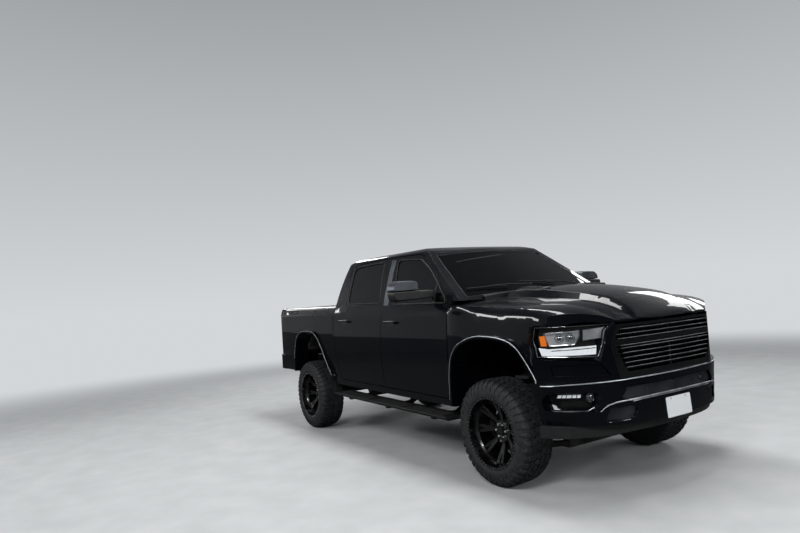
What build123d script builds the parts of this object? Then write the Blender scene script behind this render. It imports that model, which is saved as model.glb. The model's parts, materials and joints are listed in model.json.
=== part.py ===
from build123d import *
import math
import os

os.makedirs("parts", exist_ok=True)

# A lifted crew-cab pickup truck with four-wheel drive, in millimetres: +X forward, +Y to its left, +Z up.
# Every piece is drawn with x = 0 at the front axle and z = 0 on the ground, then moved to the frame's origin,
# which lies on the ground under the middle of the whole truck.

# Driving dimensions of the chassis
WHEELBASE = 3672
FRONT_OVERHANG = 1011
REAR_OVERHANG = 1233
RAKE = 1.0
TYRE_RADIUS = 435
TYRE_HALF_WIDTH = 162
WHEEL_Y = 905
RIM_RADIUS = 279
KINGPIN_Y = 770
STUB_RADIUS = 30
RUNNING_CLEARANCE = 0.4
HUB_FACE_Y = 868
BUMPER_LOW_Z = 560
BUMPER_TOP_Z = 885
BUMPER_BOW = 36
REAR_BUMPER_LOW_Z = 640
REAR_BUMPER_TOP_Z = 845

# Driving dimensions of the body, level, before the rake
SKIN_Y = 992
SKIN_BOW = 22
ROCKER_Z = 570
FLOOR_Z = 720
FLOOR_THICKNESS = 30
BELT_Z = 1500
CREASE_Z = 1425
ROOF_RAIL_Y = 742
ROOF_RAIL_Z = 2036
ROOF_CROWN = 16
SKIN_THICKNESS = 14
PILLAR_THICKNESS = 48
DOOR_GAP = 8
DOOR_REBATE = 18
DOOR_SPLIT_X = -1772
CAB_BACK_X = -(WHEELBASE - 722)
CAB_BED_GAP = 14
ROOF_SPLIT_Y = 680
GLASS_THICKNESS = 6
RAIL_Z = 1517
BED_INNER_Y = 843
BED_FLOOR_Z = 970
TAIL_X = -(WHEELBASE + 1128)
TAILGATE_THICKNESS = 56

REAR_AXLE_X = -WHEELBASE
RAKE_AXIS = Axis((0, 0, TYRE_RADIUS), (0, 1, 0))


def raked(x, z):
    # where a point of the level body comes to lie once the body leans
    angle = math.radians(RAKE)
    rise = z - TYRE_RADIUS
    return (x * math.cos(angle) + rise * math.sin(angle),
            TYRE_RADIUS - x * math.sin(angle) + rise * math.cos(angle))


# The frame's origin is half way between the ends of the two bumpers once the body leans
foremost = raked(FRONT_OVERHANG, BUMPER_LOW_Z)[0]
rearmost = raked(REAR_AXLE_X - REAR_OVERHANG, REAR_BUMPER_LOW_Z)[0]
FRONT_X = -(foremost + rearmost) / 2


def place(part, label, sprung=True):
    # sprung pieces lean nose down about the front axle, and everything moves to the frame's origin
    if sprung:
        part = part.rotate(RAKE_AXIS, RAKE)
    solids = part.moved(Location((FRONT_X, 0, 0))).solids()
    export_step(Compound(solids, label=label), f"parts/{label}.step")


def trace(rows):
    # rows: across, up, and the bow outwards of the stretch to the next row, anticlockwise
    for (across, up, bow), (next_across, next_up, _) in zip(rows, rows[1:] + rows[:1]):
        if bow:
            SagittaArc((across, up), (next_across, next_up), -bow)
        else:
            Line((across, up), (next_across, next_up))


def both_sides(rows):
    # adds the mirror image of half an outline, given from its lower end to its upper end
    bows = [bow for _, _, bow in rows]
    return rows + [(-across, up, bow) for (across, up, _), bow in zip(rows[::-1], bows[-2::-1] + [0])]


def prism(rows, plane, depth, inset=0):
    with BuildPart() as solid:
        with BuildSketch(plane):
            with BuildLine():
                trace(rows)
            make_face()
            if inset:
                offset(amount=-inset, kind=Kind.INTERSECTION)
        extrude(amount=depth)
    return solid.part


def across_body(rows, back, front, inset=0):
    return prism(rows, Plane.YZ.offset(back), front - back, inset)


def along_side(rows, near, far, inset=0):
    return prism(rows, Plane.XZ.offset(-near), near - far, inset)


def over_plan(rows, low, high, inset=0):
    # plan outlines have y across and x up
    return prism(rows, Plane(origin=(0, 0, low), x_dir=(0, 1, 0), z_dir=(0, 0, -1)), low - high, inset)


def box(x0, x1, y0, y1, z0, z1):
    corner = Plane(origin=(min(x0, x1), min(y0, y1), min(z0, z1)))
    return Solid.make_box(abs(x1 - x0), abs(y1 - y0), abs(z1 - z0), corner)


def rod(start, end, radius):
    # a plain round bar between two points
    run = Vector(*end) - Vector(*start)
    return Solid.make_cylinder(radius, run.length, Plane(Vector(*start), z_dir=run))


def pair(part):
    # a piece of the left side and its mirror image, as one node
    return Compound(children=[part, mirror(part, Plane.XZ)])


def both_hands(part, label, sprung=True):
    place(part, label + "_left", sprung)
    place(mirror(part, Plane.XZ), label + "_right", sprung)


# Outlines of the cab, seen from the front: across, up, bow
cab_section = both_sides([
    (850, FLOOR_Z - FLOOR_THICKNESS, 0),
    (850, ROCKER_Z, 0),
    (978, ROCKER_Z, 0),
    (SKIN_Y, 640, SKIN_BOW),
    (SKIN_Y, CREASE_Z, 0),
    (950, BELT_Z, 12),
    (ROOF_RAIL_Y, ROOF_RAIL_Z, 6),
    (640, 2076, ROOF_CROWN),
])
skin_section = both_sides([
    (850, FLOOR_Z - FLOOR_THICKNESS - SKIN_THICKNESS, 0),
    (850, ROCKER_Z - SKIN_THICKNESS, 0),
    (978 - SKIN_THICKNESS, ROCKER_Z - SKIN_THICKNESS, 0),
    (SKIN_Y - SKIN_THICKNESS, 640, SKIN_BOW),
    (SKIN_Y - SKIN_THICKNESS, CREASE_Z, 0),
    (950 - SKIN_THICKNESS, BELT_Z, 12),
    (ROOF_RAIL_Y - SKIN_THICKNESS, ROOF_RAIL_Z, 6),
    (640 - SKIN_THICKNESS, 2076, ROOF_CROWN),
])
room_section = both_sides([
    (880, FLOOR_Z, 0),
    (950 - PILLAR_THICKNESS - 8, BELT_Z, 10),
    (ROOF_RAIL_Y - PILLAR_THICKNESS, ROOF_RAIL_Z - 40, 4),
    (620, 2076 - 42, ROOF_CROWN),
])

# Side views of the cab, front to the right: along, up, bow
CAB_FRONT_X = -480
COWL_X = -300
cab_side_view = [
    (CAB_BACK_X, 500, 0),
    (CAB_FRONT_X, 500, 0),
    (CAB_FRONT_X, 1400, 0),
    (COWL_X, 1420, 0),
    (COWL_X, 2010, 0),
    (-1100, 2010, 0),
    (-1140, 2030, 22),
    (-1650, 2104, 0),
    (CAB_BACK_X + 600, 2104, 22),
    (CAB_BACK_X + 100, 2020, 12),
    (CAB_BACK_X, 1500, 0),
]
room_side_view = [
    (CAB_BACK_X + 60, 600, 0),
    (CAB_FRONT_X - 145, 600, 0),
    (CAB_FRONT_X - 145, 1120, 0),
    (CAB_FRONT_X - 50, 1210, 0),
    (CAB_FRONT_X - 50, 1440, 0),
    (COWL_X - 100, 1500, 0),
    (COWL_X - 100, 2080, 0),
    (CAB_BACK_X + 250, 2080, 0),
    (CAB_BACK_X + 160, 1980, 0),
    (CAB_BACK_X + 60, 1500, 0),
]
front_door_outline = [
    (DOOR_SPLIT_X - 4, 636, 0),
    (-640, 636, 12),
    (-566, 760, 2),
    (-566, 1440, 0),
    (-580, 1492, 0),
    (-851, 1775, 6),
    (-1110, 1948, 10),
    (-1270, 2018, 4),
    (DOOR_SPLIT_X - 62, 2024, 0),
    (DOOR_SPLIT_X - 4, CREASE_Z, 0),
]
rear_door_outline = [
    (CAB_BACK_X + 180, 636, 0),
    (DOOR_SPLIT_X + 4, 636, 0),
    (DOOR_SPLIT_X + 4, CREASE_Z, 0),
    (DOOR_SPLIT_X - 54, 2024, 4),
    (CAB_BACK_X + 310, 2008, 14),
    (CAB_BACK_X + 205, 1930, 0),
    (CAB_BACK_X + 180, 1560, 0),
    (CAB_BACK_X + 45, 1470, 4),
    (CAB_BACK_X + 32, 1300, 0),
    (CAB_BACK_X + 32, 1050, 10),
    (CAB_BACK_X + 85, 800, 4),
]
front_window_outline = [
    (DOOR_SPLIT_X + 224, 1514, 0),
    (-650, 1510, 6),
    (-668, 1556, 4),
    (-911, 1771, 8),
    (-1165, 1926, 8),
    (-1262, 1960, 4),
    (DOOR_SPLIT_X + 132, 1978, 6),
    (DOOR_SPLIT_X + 100, 1940, 0),
]
rear_window_outline = [
    (CAB_BACK_X + 354, 1538, 0),
    (DOOR_SPLIT_X - 90, 1536, 0),
    (DOOR_SPLIT_X - 206, 1984, 4),
    (CAB_BACK_X + 344, 1972, 14),
    (CAB_BACK_X + 278, 1910, 2),
    (CAB_BACK_X + 316, 1590, 6),
]

# The windshield is a piece of a wide cylinder along its own slope
SCREEN_FOOT = (-330, 1545)
SCREEN_SLOPE = 33.0
SCREEN_HALF_CHORD = 1000
SCREEN_SAG = 72
SCREEN_LOW = (88, 850)
SCREEN_HIGH = (852, 700)
slope = math.radians(SCREEN_SLOPE)
screen_up = (-math.cos(slope), 0, math.sin(slope))
screen_out = (math.sin(slope), 0, math.cos(slope))
screen_foot = (SCREEN_FOOT[0], 0, SCREEN_FOOT[1])
screen_plane = Plane(origin=screen_foot, x_dir=(0, -1, 0), z_dir=screen_up)
screen_face = Plane(origin=screen_foot, x_dir=(0, 1, 0), z_dir=screen_out)


def screen_band(inner, outer):
    # the space between two depths behind the windshield's outer face, along the whole slope
    low = [(-SCREEN_HALF_CHORD, -SCREEN_SAG - inner), (0, -inner), (SCREEN_HALF_CHORD, -SCREEN_SAG - inner)]
    high = [(-SCREEN_HALF_CHORD, -SCREEN_SAG - outer), (0, -outer), (SCREEN_HALF_CHORD, -SCREEN_SAG - outer)]
    with BuildPart() as band:
        with BuildSketch(screen_plane.offset(-500)):
            with BuildLine():
                ThreePointArc(*low)
                Line(low[2], high[2])
                ThreePointArc(*high)
                Line(high[0], low[0])
            make_face()
        extrude(amount=2000)
    return band.part


screen_air = screen_band(0, -900)
screen_air_inside = screen_band(45, -900)
with BuildPart() as screen_opening:
    with BuildSketch(screen_face.offset(-150)):
        with BuildLine():
            trace([(-SCREEN_LOW[1], SCREEN_LOW[0], 14), (SCREEN_LOW[1], SCREEN_LOW[0], 0),
                   (SCREEN_HIGH[1], SCREEN_HIGH[0], 10), (-SCREEN_HIGH[1], SCREEN_HIGH[0], 0)])
        make_face()
        fillet(vertices(), 60)
    extrude(amount=260)

# Front wheel arch, seen from the side: along, up, bow
front_arch = [
    (-532, 480, 0),
    (545, 480, 0),
    (545, 840, 0),
    (527, 898, 4),
    (405, 1059, 10),
    (280, 1158, 8),
    (68, 1196, 3),
    (-125, 1197, 8),
    (-338, 1141, 10),
    (-450, 1058, 12),
    (-505, 930, 6),
    (-524, 760, 0),
]
LINER_THICKNESS = 6
LIP_WIDTH = 30
LIP_Y = 1034
FENDER_TOP_Z = 1522
FENDER_INNER_Y = 925
FENDER_BACK_X = -560
HOOD_SEAM_Y = 725

# Whole volumes that the cab's panels are cut from
cab_length = (CAB_BACK_X - 20, COWL_X + 20)
cab_volume = across_body(cab_section, *cab_length) & along_side(cab_side_view, -1200, 1200)
cab_volume = cab_volume - screen_air
cab_volume = cab_volume - box(-388, 0, -HOOD_SEAM_Y, HOOD_SEAM_Y, 1436, 2000)
for side in (1, -1):
    cab_volume = cab_volume - box(FENDER_BACK_X, 0, side * FENDER_INNER_Y, side * 1100, 500, FENDER_TOP_Z)
    cab_volume = cab_volume - box(FENDER_BACK_X, 0, side * (HOOD_SEAM_Y - 15), side * 1100, 1398, FENDER_TOP_Z)
    cab_volume = cab_volume - along_side(front_arch, side * 450, side * 1100, -2 * LINER_THICKNESS)
skin_volume = across_body(skin_section, *cab_length)
room_length = across_body(room_section, *cab_length)
room_volume = room_length & along_side(room_side_view, -1200, 1200)
room_volume = room_volume - screen_air_inside
shell = cab_volume - room_volume

REAR_WINDOW_Y = 640
rear_window_section = both_sides([(REAR_WINDOW_Y - 20, 1570, 0), (REAR_WINDOW_Y, 1600, 0),
                                  (REAR_WINDOW_Y - 70, 1900, 0), (REAR_WINDOW_Y - 110, 1925, 0)])
rear_window_hole = across_body(rear_window_section, CAB_BACK_X - 50, CAB_BACK_X + 200)
shell = shell - screen_opening.part - rear_window_hole
# Doors reach inwards only as far as the sills and pillars do
door_zone = across_body([(862, 500, 0), (1200, 500, 0), (1200, 2200, 0), (600, 2200, 0), (600, 1960, 0), (862, 1480, 0)],
                        *cab_length)
door_zones = {1: door_zone, -1: mirror(door_zone, Plane.XZ)}
for outline in (front_door_outline, rear_door_outline):
    for side, zone in door_zones.items():
        near, far = sorted((side * 600, side * 1200))
        shell = shell - (along_side(outline, near, far) & zone)

middle = box(CAB_BACK_X - 150, 0, -ROOF_SPLIT_Y, ROOF_SPLIT_Y, 400, 2200)
ROOF_SPLIT_Z = 1952
roof_zone = box(CAB_BACK_X - 150, 0, -ROOF_SPLIT_Y, ROOF_SPLIT_Y, ROOF_SPLIT_Z, 2200)
tub_zone = box(CAB_BACK_X - 150, 0, -ROOF_SPLIT_Y, ROOF_SPLIT_Y, 400, ROOF_SPLIT_Z)

place(shell & roof_zone, "roof")
place(shell & tub_zone, "cab_tub")
place(shell - middle, "cab_sides")

# Windshield and rear window, seated in their openings
with BuildPart() as windshield:
    add(screen_band(12, 6))
    add(screen_opening.part, mode=Mode.INTERSECT)
rear_glass_view = [(CAB_BACK_X + 5, 1500, 0), (CAB_BACK_X + 5 + GLASS_THICKNESS, 1500, 0),
                   (CAB_BACK_X + 111 + GLASS_THICKNESS, 2020, 0), (CAB_BACK_X + 111, 2020, 0)]
with BuildPart() as rear_window:
    add(along_side(rear_glass_view, -800, 800))
    add(rear_window_hole, mode=Mode.INTERSECT)
place(Compound(children=[windshield.part, rear_window.part]), "cab_glass")


def door(outline, window):
    # an outer skin that laps the inner box all round, with the window cut
    with BuildPart() as panel:
        add(along_side(outline, 600, 1200, DOOR_GAP))
        add(cab_volume, mode=Mode.INTERSECT)
        add(skin_volume, mode=Mode.SUBTRACT)
    with BuildPart() as inner:
        add(along_side(outline, 600, 1200, DOOR_GAP + DOOR_REBATE))
        add(cab_volume, mode=Mode.INTERSECT)
        add(door_zone, mode=Mode.INTERSECT)
        add(room_length, mode=Mode.SUBTRACT)
    with BuildPart() as leaf:
        add(panel.part)
        add(inner.part)
        add(along_side(window, 600, 1200), mode=Mode.SUBTRACT)
    return leaf.part


def door_glass(window):
    outer = across_body([(across - SKIN_THICKNESS + GLASS_THICKNESS if across > 0 else across, up, bow)
                         for across, up, bow in cab_section], *cab_length)
    with BuildPart() as pane:
        add(along_side(window, 600, 1200))
        add(outer, mode=Mode.INTERSECT)
        add(skin_volume, mode=Mode.SUBTRACT)
    return pane.part


both_hands(door(front_door_outline, front_window_outline), "front_door")
both_hands(door(rear_door_outline, rear_window_outline), "rear_door")
both_hands(door_glass(front_window_outline), "front_door_glass")
both_hands(door_glass(rear_window_outline), "rear_door_glass")


# Hood: cross sections from the cowl to the nose. Each row: station, half width at the seam, heights of the seam,
# the flank, the dome's shoulder and the centre, and thickness
HOOD_FLANK_Y = 0.68
HOOD_DOME_Y = 0.60
hood_stations = [
    (-410, 712, 1498, 1520, 1568, 1588, 28),
    (-100, 708, 1496, 1518, 1578, 1602, 28),
    (300, 688, 1470, 1490, 1552, 1580, 28),
    (620, 650, 1446, 1462, 1504, 1530, 28),
    (820, 602, 1392, 1404, 1440, 1462, 28),
    (965, 546, 1300, 1303, 1306, 1310, 12),
]
HOOD_BACK_X = -360
HOOD_BACK_BOW = 70


def hood_rows(half_width, seam, flank, shoulder, centre, thickness):
    top = [(half_width, seam, 5), (half_width * HOOD_FLANK_Y, flank, 0),
           (half_width * HOOD_DOME_Y, shoulder, 0)]
    under = [(0, centre - thickness), (half_width * HOOD_DOME_Y - 12, shoulder - thickness),
             (half_width * HOOD_FLANK_Y - 12, flank - thickness), (half_width, seam - thickness)]
    return top, under


# Plan of the nose above the bumper, of the fascia, and of the bumper's upper and lower edge: across, along, bow
nose_plan = both_sides([
    (1080, -620, 0),
    (1080, -100, 0),
    (992, 440, 20),
    (930, 640, 8),
    (800, 790, 4),
    (600, 915, 10),
    (500, 945, 16),
])
fascia_plan = both_sides([
    (1030, 0, 0),
    (1030, 440, 20),
    (950, 622, 8),
    (812, 786, 4),
    (608, 922, 10),
    (500, 953, 16),
])
bumper_ridge = both_sides([
    (1062, 300, 0),
    (1062, 505, 4),
    (1045, 611, 8),
    (1000, 690, 26),
    (565, 940, 50),
])
bumper_foot = both_sides([
    (950, 300, 0),
    (950, 524, 6),
    (903, 630, 4),
    (834, 750, 26),
    (478, FRONT_OVERHANG - BUMPER_BOW, BUMPER_BOW),
])


with BuildPart() as hood:
    for station, half_width, seam, flank, shoulder, centre, thickness in hood_stations:
        top, under = hood_rows(half_width, seam, flank, shoulder, centre, thickness)
        with BuildSketch(Plane.YZ.offset(station)):
            with BuildLine():
                for side in (1, -1):
                    SagittaArc((side * top[0][0], top[0][1]), (side * top[1][0], top[1][1]), -side * top[0][2])
                    Line((side * top[1][0], top[1][1]), (side * top[2][0], top[2][1]))
                    Line((side * top[0][0], top[0][1]), (side * under[3][0], under[3][1]))
                    Line((side * under[3][0], under[3][1]), (side * under[2][0], under[2][1]))
                    Line((side * under[2][0], under[2][1]), (side * under[1][0], under[1][1]))
                ThreePointArc((top[2][0], shoulder), (0, centre), (-top[2][0], shoulder))
                ThreePointArc((under[1][0], under[1][1]), (0, under[0][1]), (-under[1][0], under[1][1]))
            make_face()
    loft()
    with BuildSketch(Plane.XY.offset(1200)):
        with BuildLine():
            trace([(HOOD_BACK_X, -800, HOOD_BACK_BOW), (HOOD_BACK_X, 800, 0), (-700, 800, 0), (-700, -800, 0)])
        make_face()
    extrude(amount=600, mode=Mode.SUBTRACT)
    add(over_plan(nose_plan, 1000, 1800), mode=Mode.INTERSECT)
place(hood.part, "hood")


def drawn_in(rows, depth):
    # a plan outline moved inwards at its sides and back at its front
    return [(across - math.copysign(depth, across), along - depth, bow) for across, along, bow in rows]


def band(rows, low, high, thickness, back, skin=0):
    # a wall that follows the nose in plan, between two depths, cut off square at its back
    wall = over_plan(drawn_in(rows, skin), low, high) - over_plan(drawn_in(rows, thickness), low - 10, high + 10)
    return wall & box(back, 1200, -1300, 1300, low, high)


def bumper_block(depth):
    # everything behind the bumper's face, which leans from its ridge to its foot, or behind a depth under that face
    with BuildPart() as block:
        for height, rows in ((BUMPER_LOW_Z, bumper_foot), (BUMPER_TOP_Z, bumper_ridge)):
            with BuildSketch(Plane(origin=(0, 0, height), x_dir=(0, 1, 0), z_dir=(0, 0, -1))):
                with BuildLine():
                    trace(drawn_in(rows, depth))
                make_face()
        loft(ruled=True)
    return block.part


def bumper_wall(thickness, back, skin=0):
    wall = bumper_block(skin) - bumper_block(thickness)
    return wall & box(back, 1200, -1300, 1300, BUMPER_LOW_Z, BUMPER_TOP_Z)


# Fender stations: along, low edge, crease across and up, top edge across and up; the seam follows the hood
FENDER_THICKNESS = 60
FENDER_LOW_Z = 585
SEAM_GAP = 5
fender_stations = [
    (FENDER_BACK_X + 2, 992, 992, 1425, 950, 1482),
    (-100, 992, 990, 1408, 944, 1466),
    (300, 990, 981, 1388, 932, 1446),
    (620, 968, 948, 1366, 890, 1418),
    (820, 930, 872, 1340, 772, 1376),
    (965, 890, 780, 1280, 670, 1299),
]
fender_seams = [(half_width + SEAM_GAP, seam - 3) for _, half_width, seam, _, _, _, _ in hood_stations]
with BuildPart() as fender:
    for (along, low, crease, crease_z, edge, edge_z), (seam, seam_z) in zip(fender_stations, fender_seams):
        with BuildSketch(Plane.YZ.offset(along)):
            with BuildLine():
                trace([
                    (low - FENDER_THICKNESS, FENDER_LOW_Z, 0),
                    (low, FENDER_LOW_Z, SKIN_BOW),
                    (crease, crease_z, 4),
                    (edge, edge_z, 5),
                    (seam, seam_z, 0),
                    (seam, seam_z - 45, 0),
                    (edge - 35, edge_z - 50, 0),
                    (crease - FENDER_THICKNESS, crease_z - 40, 0),
                ])
            make_face()
    loft()
    add(over_plan(nose_plan, 500, 1600), mode=Mode.INTERSECT)
    add(along_side(front_arch, 600, 1200), mode=Mode.SUBTRACT)
lip = along_side(front_arch, 968, LIP_Y, -LIP_WIDTH) - along_side(front_arch, 960, LIP_Y + 10)
liner = along_side(front_arch, 470, 975, -LINER_THICKNESS) - along_side(front_arch, 460, 985)
fender_zone = box(FENDER_BACK_X + 2, 1000, 400, 1100, FENDER_LOW_Z, 1600)
front_panel_view = [(505, 400, 0), (1100, 400, 0), (1100, 1306, 0), (508, 1306, 0), (488, 1190, 0), (501, 1062, 0),
                    (527, 898, 0), (505, 840, 0)]
front_panel_zone = along_side(front_panel_view, 380, 1200)
arch_trim = (lip + liner) & fender_zone
fender_left = (fender.part + arch_trim) - front_panel_zone
place(pair(fender_left), "fenders")

# Headlamps fill the corner between the fender's top and the fascia
LAMP_LOW_Z = 1032
LAMP_HIGH_Z = 1302
LAMP_DEPTH = 110
PANEL_GAP = 3
lamp_end = [(300, LAMP_LOW_Z - 20, 0), (694, LAMP_LOW_Z - 20, 0), (683, 1058, 0), (658, 1144, 0), (637, 1252, 0),
            (586, LAMP_HIGH_Z + 20, 0), (300, LAMP_HIGH_Z + 20, 0)]
lamp_view = [(508, LAMP_LOW_Z + 34, 0), (860, LAMP_LOW_Z, 0), (1100, LAMP_LOW_Z, 0), (1100, LAMP_HIGH_Z, 0),
             (514, LAMP_HIGH_Z, 0), (494, 1190, 0)]
lamp_zone = along_side(lamp_view, 400, 1200) - across_body(lamp_end, 300, 1100)
lamp_room = along_side(lamp_view, 400, 1200, -PANEL_GAP) - across_body(lamp_end, 300, 1100, PANEL_GAP)
headlamp = band(nose_plan, LAMP_LOW_Z, LAMP_HIGH_Z, LAMP_DEPTH, 400) & lamp_zone & box(300, 1100, 400, 1200, 1000, 1400)

# Fascia panels round the lamps, from the arch to the grille, with a pocket under each lamp
GRILLE_TOP_Z = 1286
POCKET_DEPTH = 14
grille_outline = both_sides([(566, BUMPER_TOP_Z, 0), (584, 941, 0), (621, 1141, 5), (562, GRILLE_TOP_Z, 0)])
pocket_outline = [(622, 922, 0), (940, 930, 0), (950, 1012, 0), (684, 1012, 0)]
fascia_band = band(fascia_plan, BUMPER_TOP_Z, LAMP_HIGH_Z + PANEL_GAP, FENDER_THICKNESS, 430)
pocket = across_body(pocket_outline, 500, 1100) & band(fascia_plan, 900, 1030, POCKET_DEPTH, 430)
fascia = (fascia_band & along_side(front_panel_view, 380, 1200, 2)) - across_body(grille_outline, 600, 1100, -PANEL_GAP)
fascia = fascia - lamp_room - pocket - box(800, 1100, 500, 574, GRILLE_TOP_Z + 2, 1400)
place(pair(fascia & box(300, 1100, 500, 1200, 800, 1400)), "front_fascia")

# Grille: a frame with thin bars in two groups and a broad band between them
GRILLE_DEPTH = 60
BAR_HEIGHT = 12
BAR_PITCH = 36
BAND_LOW_Z = 1126
BAND_HIGH_Z = 1186
grille_opening = both_sides([(480, 934, 8), (546, 1025, 4), (583, 1138, 4), (570, 1220, 3), (520, 1266, 0)])
bar_heights = [958 + BAR_PITCH * row for row in range(5)] + [BAND_HIGH_Z + 20 + BAR_PITCH * row for row in range(2)]
grille_frame = band(fascia_plan, BUMPER_TOP_Z, GRILLE_TOP_Z, GRILLE_DEPTH, 600)
grille_frame = grille_frame & across_body(grille_outline, 600, 1100)
bars = [box(860, 990, -620, 620, height, height + BAR_HEIGHT) for height in bar_heights]
bars.append(box(860, 990, -620, 620, BAND_LOW_Z, BAND_HIGH_Z))
bars.append(box(860, 990, -10, 10, 930, 1290))
with BuildPart() as grille_bars:
    for bar in bars:
        add(bar)
    add(band(fascia_plan, BUMPER_TOP_Z, GRILLE_TOP_Z, GRILLE_DEPTH - 10, 600), mode=Mode.INTERSECT)
    add(across_body(grille_opening, 600, 1100, -6), mode=Mode.INTERSECT)
grille = (grille_frame - across_body(grille_opening, 600, 1100)) + grille_bars.part
place(grille, "grille")

# Front bumper with its slots
BUMPER_THICKNESS = 70
bumper = bumper_wall(BUMPER_THICKNESS, 505)
slot_outline = both_sides([(550, 735, 0), (566, 758, 0), (512, 826, 0)])
pod_outline = [(508, 598, 0), (663, 586, 10), (681, 612, 4), (648, 688, 0), (456, 693, 0), (446, 648, 12)]
fog_outline = [(737, 667, 0), (965, 667, 12), (1002, 740, 6), (1002, 818, 0), (737, 806, 12)]
bumper = bumper - across_body(slot_outline, 700, 1100)
for outline in (pod_outline, fog_outline):
    hole = across_body(outline, 560, 1100)
    bumper = bumper - hole - mirror(hole, Plane.XZ)
place(bumper, "front_bumper")
mesh_wall = bumper_wall(BUMPER_THICKNESS, 505, BUMPER_THICKNESS - 30)
slot_mesh = mesh_wall & across_body(slot_outline, 700, 1100)
pod_mesh = mesh_wall & across_body(pod_outline, 560, 1100)
place(Compound(children=[slot_mesh, pod_mesh, mirror(pod_mesh, Plane.XZ)]), "bumper_inserts")
fog = bumper_wall(BUMPER_THICKNESS, 505, 12) & across_body(fog_outline, 560, 1100)
place(Compound(children=[headlamp, mirror(headlamp, Plane.XZ), fog, mirror(fog, Plane.XZ)]), "front_lamps")
dam_plan = both_sides([(1010, 300, 0), (1005, 520, 20), (840, 735, 16), (520, 860, 40)])
air_dam = band(dam_plan, 470, BUMPER_LOW_Z, 50, 520)
place(air_dam, "air_dam")

# Bed: double-walled sides with the rear arch, a floor with wheelhouses, and the tailgate
BED_FRONT_X = CAB_BACK_X - CAB_BED_GAP
rear_arch = [
    (REAR_AXLE_X - 520, 500, 0),
    (REAR_AXLE_X + 672, 500, 0),
    (REAR_AXLE_X + 648, 653, 3),
    (REAR_AXLE_X + 481, 855, 6),
    (REAR_AXLE_X + 326, 1051, 8),
    (REAR_AXLE_X + 232, 1132, 8),
    (REAR_AXLE_X + 112, 1180, 3),
    (REAR_AXLE_X - 182, 1183, 6),
    (REAR_AXLE_X - 330, 1146, 14),
    (REAR_AXLE_X - 438, 1020, 6),
    (REAR_AXLE_X - 496, 820, 0),
]
bed_section = [
    (872, 645, 0),
    (984, 645, 20),
    (992, CREASE_Z, 0),
    (955, 1496, 6),
    (925, RAIL_Z, 0),
    (BED_INNER_Y, RAIL_Z, 0),
    (BED_INNER_Y, 900, 0),
]
TAIL_BACK_X = TAIL_X + 16
tail_plan = both_sides([(935, TAIL_BACK_X, 24), (1006, TAIL_BACK_X + 130, 6), (1030, TAIL_BACK_X + 400, 0),
                        (1100, BED_FRONT_X + 10, 0)])
bed_side = across_body(bed_section, TAIL_X - 50, BED_FRONT_X) & over_plan(tail_plan, 500, 1600)
bed_side = bed_side - along_side(rear_arch, 600, 1200)
rear_lip = along_side(rear_arch, 968, LIP_Y, -LIP_WIDTH) - along_side(rear_arch, 960, LIP_Y + 10)
rear_lip = rear_lip & box(TAIL_X + 400, BED_FRONT_X - 4, 900, 1100, 645, 1400)
lamp_box = box(TAIL_X - 60, TAIL_BACK_X + 110, 872, 1100, 1010, 1392)
bumper_notch = box(TAIL_X - 60, TAIL_X + 168, 840, 1100, 600, REAR_BUMPER_TOP_Z + 8)
bed_side = bed_side + rear_lip - bumper_notch
place(pair(bed_side - lamp_box), "bed_sides")
place(pair((bed_side & lamp_box)), "tail_lamps")

FLOOR_SHEET = 40
WHEELHOUSE_Y = 650
HOUSE_RADIUS = 440
HOUSE_RISE = 260
HOUSE_WALL = 20


def house_view(wall):
    # a wheelhouse from the side, drawn in by its wall
    reach = HOUSE_RADIUS - wall
    return [(REAR_AXLE_X - reach, 900, 0), (REAR_AXLE_X + reach, 900, 0),
            (REAR_AXLE_X + reach, BED_FLOOR_Z, HOUSE_RISE - wall), (REAR_AXLE_X - reach, BED_FLOOR_Z, 0)]


with BuildPart() as bed_floor:
    add(box(BED_FRONT_X, TAIL_X + 72, -BED_INNER_Y, BED_INNER_Y, BED_FLOOR_Z - FLOOR_SHEET, BED_FLOOR_Z))
    add(box(BED_FRONT_X - 30, BED_FRONT_X, -BED_INNER_Y, BED_INNER_Y, BED_FLOOR_Z - FLOOR_SHEET, RAIL_Z - 12))
    add(box(TAIL_X + 110, TAIL_X + 64, -BED_INNER_Y, BED_INNER_Y, 850, BED_FLOOR_Z - FLOOR_SHEET))
    for side in (1, -1):
        near, far = sorted((side * WHEELHOUSE_Y, side * BED_INNER_Y))
        house_zone = box(TAIL_X + 400, BED_FRONT_X - 36, near, far, BED_FLOOR_Z - FLOOR_SHEET, 1400)
        add(along_side(house_view(0), near, far) & house_zone)
    for side in (1, -1):
        near, far = sorted((side * (WHEELHOUSE_Y + HOUSE_WALL), side * (BED_INNER_Y + 1)))
        add(along_side(house_view(HOUSE_WALL), near, far), mode=Mode.SUBTRACT)
place(bed_floor.part, "bed_floor")
GATE_LOW_Z = 945
tailgate = box(TAIL_X, TAIL_X + TAILGATE_THICKNESS, -BED_INNER_Y + 8, BED_INNER_Y - 8, GATE_LOW_Z, RAIL_Z - 6)
place(tailgate, "tailgate")
rear_plan = both_sides([(880, REAR_AXLE_X - REAR_OVERHANG, 30), (985, TAIL_X + 20, 0), (985, TAIL_X + 160, 0),
                        (940, TAIL_X + 160, 0), (900, TAIL_X + 30, 0)])
rear_bumper = over_plan(rear_plan, REAR_BUMPER_LOW_Z, REAR_BUMPER_TOP_Z)
place(rear_bumper, "rear_bumper")


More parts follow.
